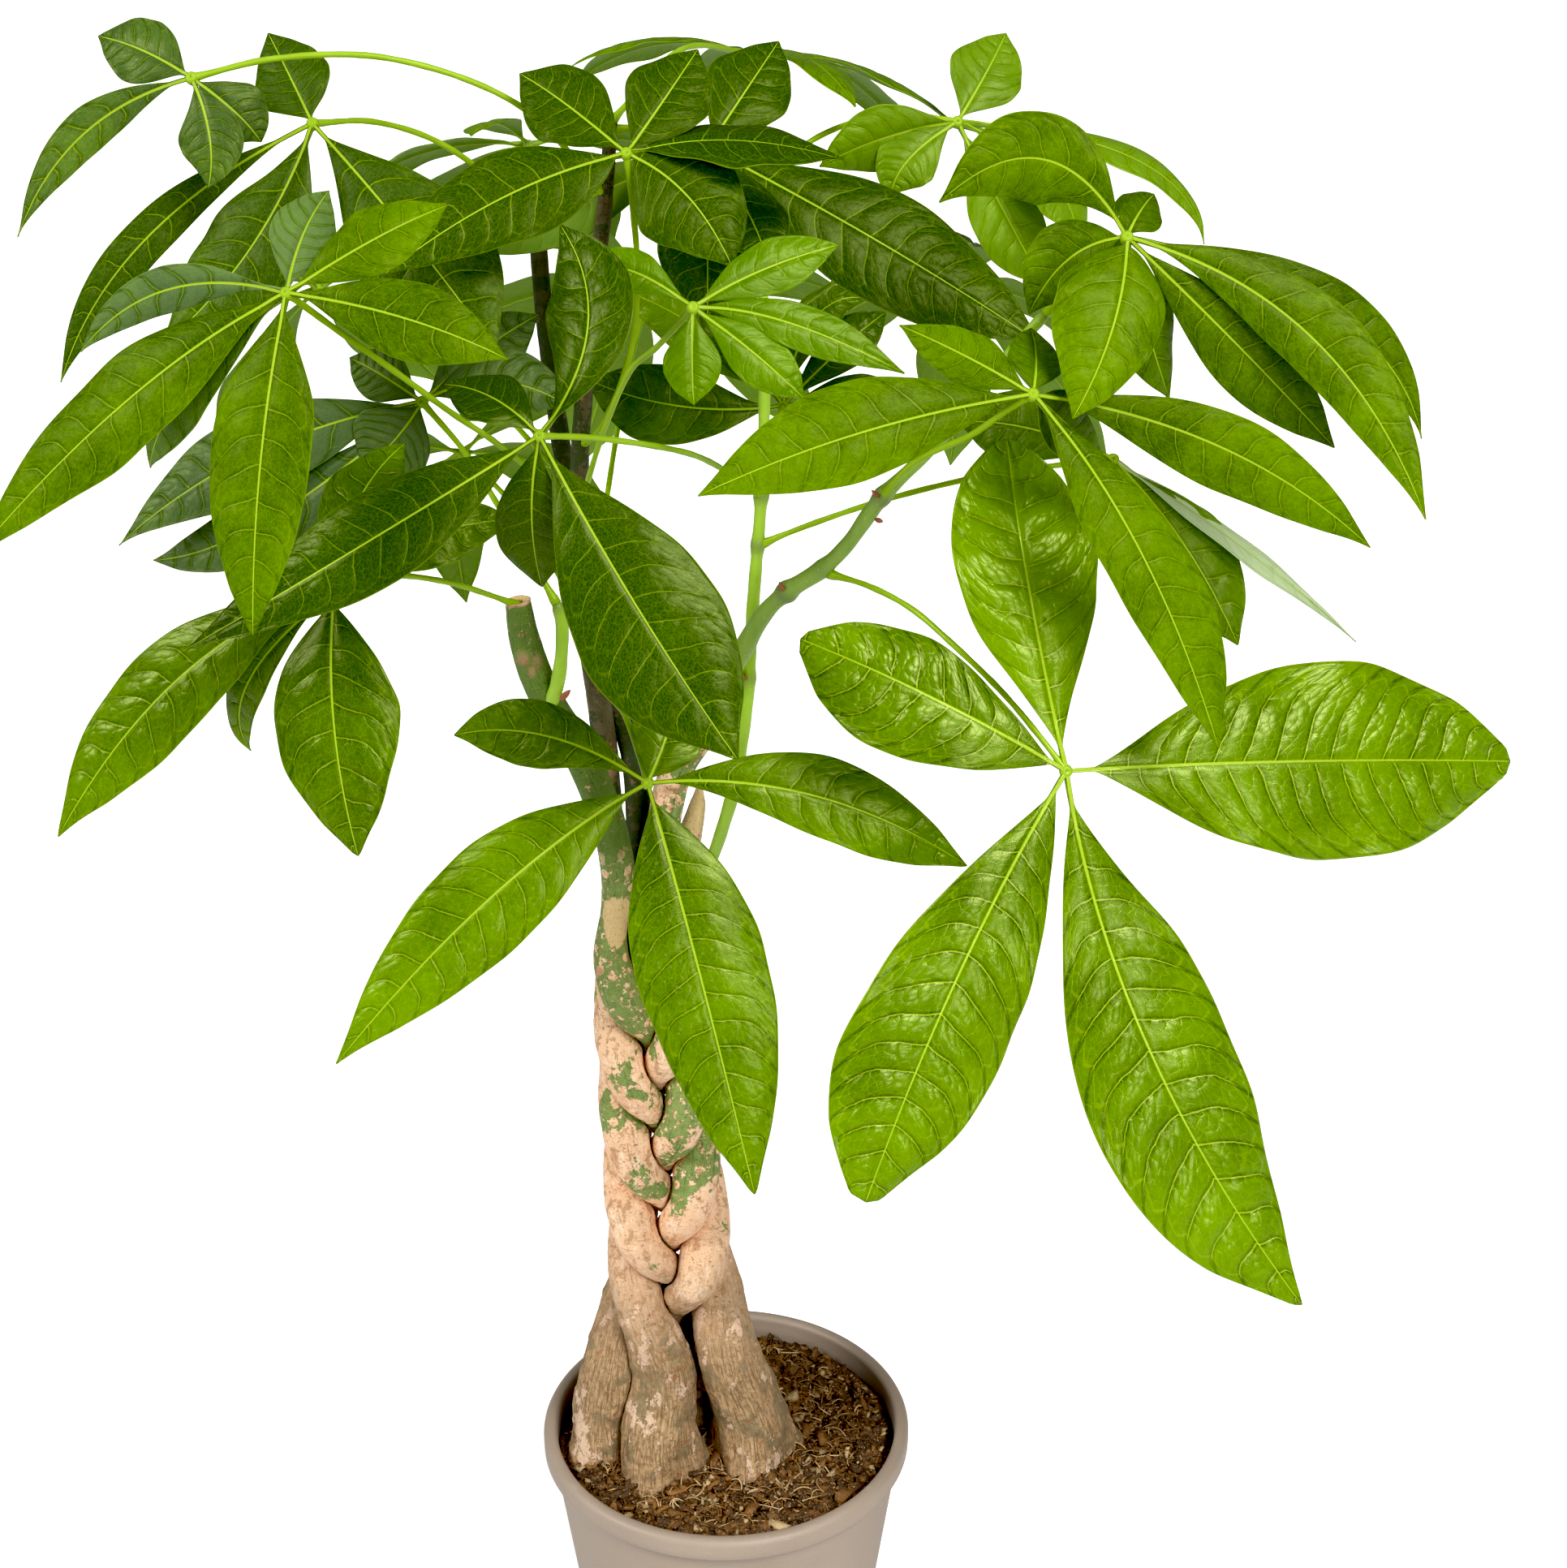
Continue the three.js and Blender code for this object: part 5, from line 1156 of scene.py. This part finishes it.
def build_soil(material):
    random = np.random.default_rng(11)
    edge, angle = inner_radius(SOIL_TOP - 4) - 0.7, angles(SOIL_SIDES)
    radii = np.concatenate([np.linspace(0.8, edge - 3, 62), [edge - 1.4, edge]])[:, None]
    x, y = radii * np.cos(angle), radii * np.sin(angle)
    z = soil_level(radii, edge) + soil_height(x, y) * ease(edge, edge - 6, radii)
    walls = []
    for level in (SOIL_TOP - 12, 90, 45, WALL + 3.4, WALL + 0.4):
        radius = inner_radius(level) - (0.8 if level > 10 else 3.5)
        walls.append(np.stack([radius * np.cos(angle), radius * np.sin(angle), 0 * angle + level], 1))
    rings = np.concatenate([np.stack([x, y, z], -1), walls])[::-1]
    pile = Pile("grain")
    rust = np.clip(noise_over(rings, 0.3, 6) * 2.2, 0, 0.8)
    add_tube(pile, rings, grain=triples(rings.shape, 0, rust, 0))
    for _ in range(CHIP_COUNT):
        add_chip(pile, random, edge)
    for _ in range(FIBRE_COUNT):
        add_fibre(pile, random, edge)
    make_piece("soil.crumbs", pile, material, "soil")


def soil_spot(random, edge):
    """A random place on the soil."""
    radius, angle = (edge - 4) * math.sqrt(random.random()), random.uniform(0, TURN)
    x, y = radius * math.cos(angle), radius * math.sin(angle)
    return np.array([x, y, soil_level(radius, edge) + float(soil_height(x, y))])


def turn_matrix(heading, tilt):
    cos, sin = math.cos(heading), math.sin(heading)
    flat = np.array([[cos, sin, 0], [-sin, cos, 0], [0, 0, 1]])
    cos, sin = math.cos(tilt), math.sin(tilt)
    return np.array([[cos, 0, sin], [0, 1, 0], [-sin, 0, cos]]) @ flat


def add_chip(pile, random, edge):
    """An angular crumb of coco or bark, half sunk in the soil."""
    place = soil_spot(random, edge)
    size = random.gamma(1.7, 0.42) + 0.45
    scale = size * np.array([random.uniform(0.9, 2.8), random.uniform(0.4, 1.0), random.uniform(0.3, 0.8)])
    corners = np.array([(x, y, z) for x in (-1, 1) for y in (-1, 1) for z in (-1, 1)], float)
    corners *= scale * random.uniform(0.45, 1.0, (8, 3))
    turned = corners @ turn_matrix(random.uniform(0, TURN), random.uniform(-0.8, 0.8))
    faces = [(0, 1, 3, 2), (4, 6, 7, 5), (0, 4, 5, 1), (2, 3, 7, 6), (0, 2, 6, 4), (1, 5, 7, 3)]
    pick = random.random()
    light = random.uniform(0.4, 1.0) if pick > 0.90 else 0.0
    red = random.uniform(0.2, 1.0) if pick < 0.38 else 0.0
    pile.add(turned + place + [0, 0, scale[2] * 0.25], faces, grain=(light, red, 0))


def add_fibre(pile, random, edge):
    """A curled thread of coco fibre on the soil."""
    place = soil_spot(random, edge - 5)
    heading, length = random.uniform(0, TURN), random.uniform(3, 11)
    steps, bend = np.linspace(-0.5, 0.5, 7), random.uniform(-1.2, 1.2)
    rise = 0.6 + random.uniform(0, 1.8) * np.cos(steps * np.pi)
    curve = np.stack([steps * length, bend * length * (steps ** 2 - 0.1), rise], 1)
    places = curve @ turn_matrix(heading, random.uniform(-0.25, 0.25)) + place
    radii = [random.uniform(0.12, 0.34)] * len(steps)
    rings = round_rings(places, unit(np.gradient(places, axis=0)), radii, 5, (0, 0.1, 1))
    light = random.choice([0.0, 0.4, 1.0], p=[0.55, 0.2, 0.25])
    add_tube(pile, rings, grain=(light, 0.9, 0))


# ---- pot ----
def rounded(radius, height, width, rise, turns):
    """Part of a rounded lip: radii and heights round a middle, at some turns."""
    return [(radius + width * math.cos(turn), height + rise * math.sin(turn)) for turn in turns]


def pot_outline():
    """Radius, height and insideness down the outer wall's profile and up the inner one, lip rounded."""
    inner, lip_bottom, foot = RIM_RADIUS - LIP_WIDTH, POT_HEIGHT - LIP_HEIGHT, BASE_RADIUS + 0.4
    outside = [(0.01, 0.9), (BASE_RADIUS - 9, 0.9), (BASE_RADIUS - 7.5, 0), (BASE_RADIUS - 2, 0)]
    outside += [(BASE_RADIUS - 0.4, 0.8), (foot, 2.6)]
    for share in np.linspace(0.03, 1, 22):
        outside.append((foot + (inner + WALL - 0.4 - foot) * share, 2.6 + (lip_bottom - 4.6) * share))
    outside += [(RIM_RADIUS - 2.2, lip_bottom - 0.2), (RIM_RADIUS - 0.9, lip_bottom + 0.2)]
    outside += [(RIM_RADIUS - 0.1, lip_bottom + 1.6), (RIM_RADIUS, lip_bottom + 4)]
    outside += rounded(RIM_RADIUS - 3.4, POT_HEIGHT - 3, 3.4, 3, np.linspace(0, np.pi / 2, 7))
    turns = np.linspace(np.pi / 2, np.pi, 6)[1:]
    lip = rounded(inner + 2.4, POT_HEIGHT - 2.6, 2.4, 2.6, turns)
    inside = [(inner_radius(z), z) for z in np.linspace(lip_bottom - 2, WALL + 3, 20)]
    inside += [(BASE_RADIUS - WALL - 2, WALL), (0.01, WALL)]
    # insideness sets how far the pot's colour is darkened as painted shade.
    insideness = [0] * len(outside) + list((turns - 1.5) / 1.7) + [1] * len(inside)
    return np.array(outside + lip + inside), np.array(insideness)


def build_pot(material):
    angle = angles(POT_SIDES)
    outline, inside = pot_outline()
    radius, height = outline[:, :1], outline[:, 1:]
    rings = np.stack([radius * np.cos(angle), radius * np.sin(angle), height + 0 * angle], -1)
    pile = Pile("inside")
    add_tube(pile, rings, inside=triples(rings.shape, inside, 0, 0))
    pot, cutter = make_piece("pot.shell", pile, material, "pot"), drain_cutter()
    modifier = pot.modifiers.new("drain", "BOOLEAN")
    modifier.object, modifier.operation, modifier.solver = cutter, "DIFFERENCE", "EXACT"
    bpy.context.view_layer.update()
    cut = bpy.data.meshes.new_from_object(pot.evaluated_get(bpy.context.evaluated_depsgraph_get()))
    pot.modifiers.clear()
    pot.data = cut
    bpy.data.objects.remove(cutter)


def drain_cutter():
    pile, angle = Pile(), angles(28)
    for turn in angles(DRAIN_COUNT):
        x = DRAIN_CIRCLE * math.cos(turn) + DRAIN_RADIUS * np.cos(angle)
        y = DRAIN_CIRCLE * math.sin(turn) + DRAIN_RADIUS * np.sin(angle)
        add_tube(pile, np.array([np.stack([x, y, 0 * x + z], 1) for z in (-4, WALL + 2)]))
    return place_object("drain_cutter", pile.mesh("drain_cutter"))


# ---- studio ----
def build_floor():
    pile, size = Pile(), FLOOR_SIZE
    pile.add([(-size, -size, 0), (size, -size, 0), (size, size, 0), (-size, size, 0)], [(0, 1, 2, 3)])
    floor = place_object("studio_floor", pile.mesh("studio_floor"))
    floor.data.materials.append(floor_material())


def add_light(name, way, spread, strength):
    """A far, soft light that comes from a direction."""
    data = bpy.data.lights.new(name, "SUN")
    data.angle, data.energy = math.radians(spread), strength
    place_object(name, data).rotation_euler = Vector(way).to_track_quat("Z", "Y").to_euler()


def studio_world():
    """A dim dome that looks plain white behind the scene."""
    world = bpy.data.worlds.new("studio")
    world.use_nodes = True
    tree = world.node_tree
    background = tree.nodes["Background"]
    background.inputs["Color"].default_value = (1, 1, 1, 1)
    path = tree.nodes.new("ShaderNodeLightPath")
    strength = tree.nodes.new("ShaderNodeMix")
    strength.inputs[2].default_value, strength.inputs[3].default_value = DOME_LIGHT, 1.0
    tree.links.new(path.outputs["Is Camera Ray"], strength.inputs[0])
    tree.links.new(strength.outputs[0], background.inputs["Strength"])
    return world


def set_studio():
    scene = bpy.context.scene
    view = scene.view_settings
    view.view_transform = "Standard"
    view.use_curve_mapping = True
    view.curve_mapping.black_level = (BLACK_POINT, BLACK_POINT, BLACK_POINT)
    view.curve_mapping.update()
    scene.world = studio_world()
    add_light("key", (0.36, -0.60, 0.72), 22, 2.7)
    add_light("side", (-0.78, -0.34, 0.66), 20, 1.9)
    add_light("low", (0.36, -0.90, 0.24), 13, 0.8)
    build_floor()


def set_camera():
    data = bpy.data.cameras.new("camera")
    data.sensor_fit, data.sensor_width = "HORIZONTAL", SENSOR_WIDTH
    data.lens = SENSOR_WIDTH * VIEW_FOCAL / IMAGE_WIDTH
    camera = place_object("camera", data)
    camera.location = VIEW_EYE * MM
    camera.rotation_euler = (math.pi / 2 - VIEW_PITCH, 0, 0)
    bpy.context.scene.camera = camera


# ---- the whole plant ----
def build_plant():
    bark, green = bark_material(), shoot_material()
    for index, item in enumerate(TRUNKS):
        build_trunk(index, item, bark)
    for item in SHOOTS:
        build_shoot(item, green)
    for item in VIEW_LEAVES:
        build_view_leaf(item)
    for row in CROWN_LEAVES:
        build_crown_leaf(*row)


set_camera()
set_studio()
build_pot(pot_material())
build_soil(soil_material())
build_plant()
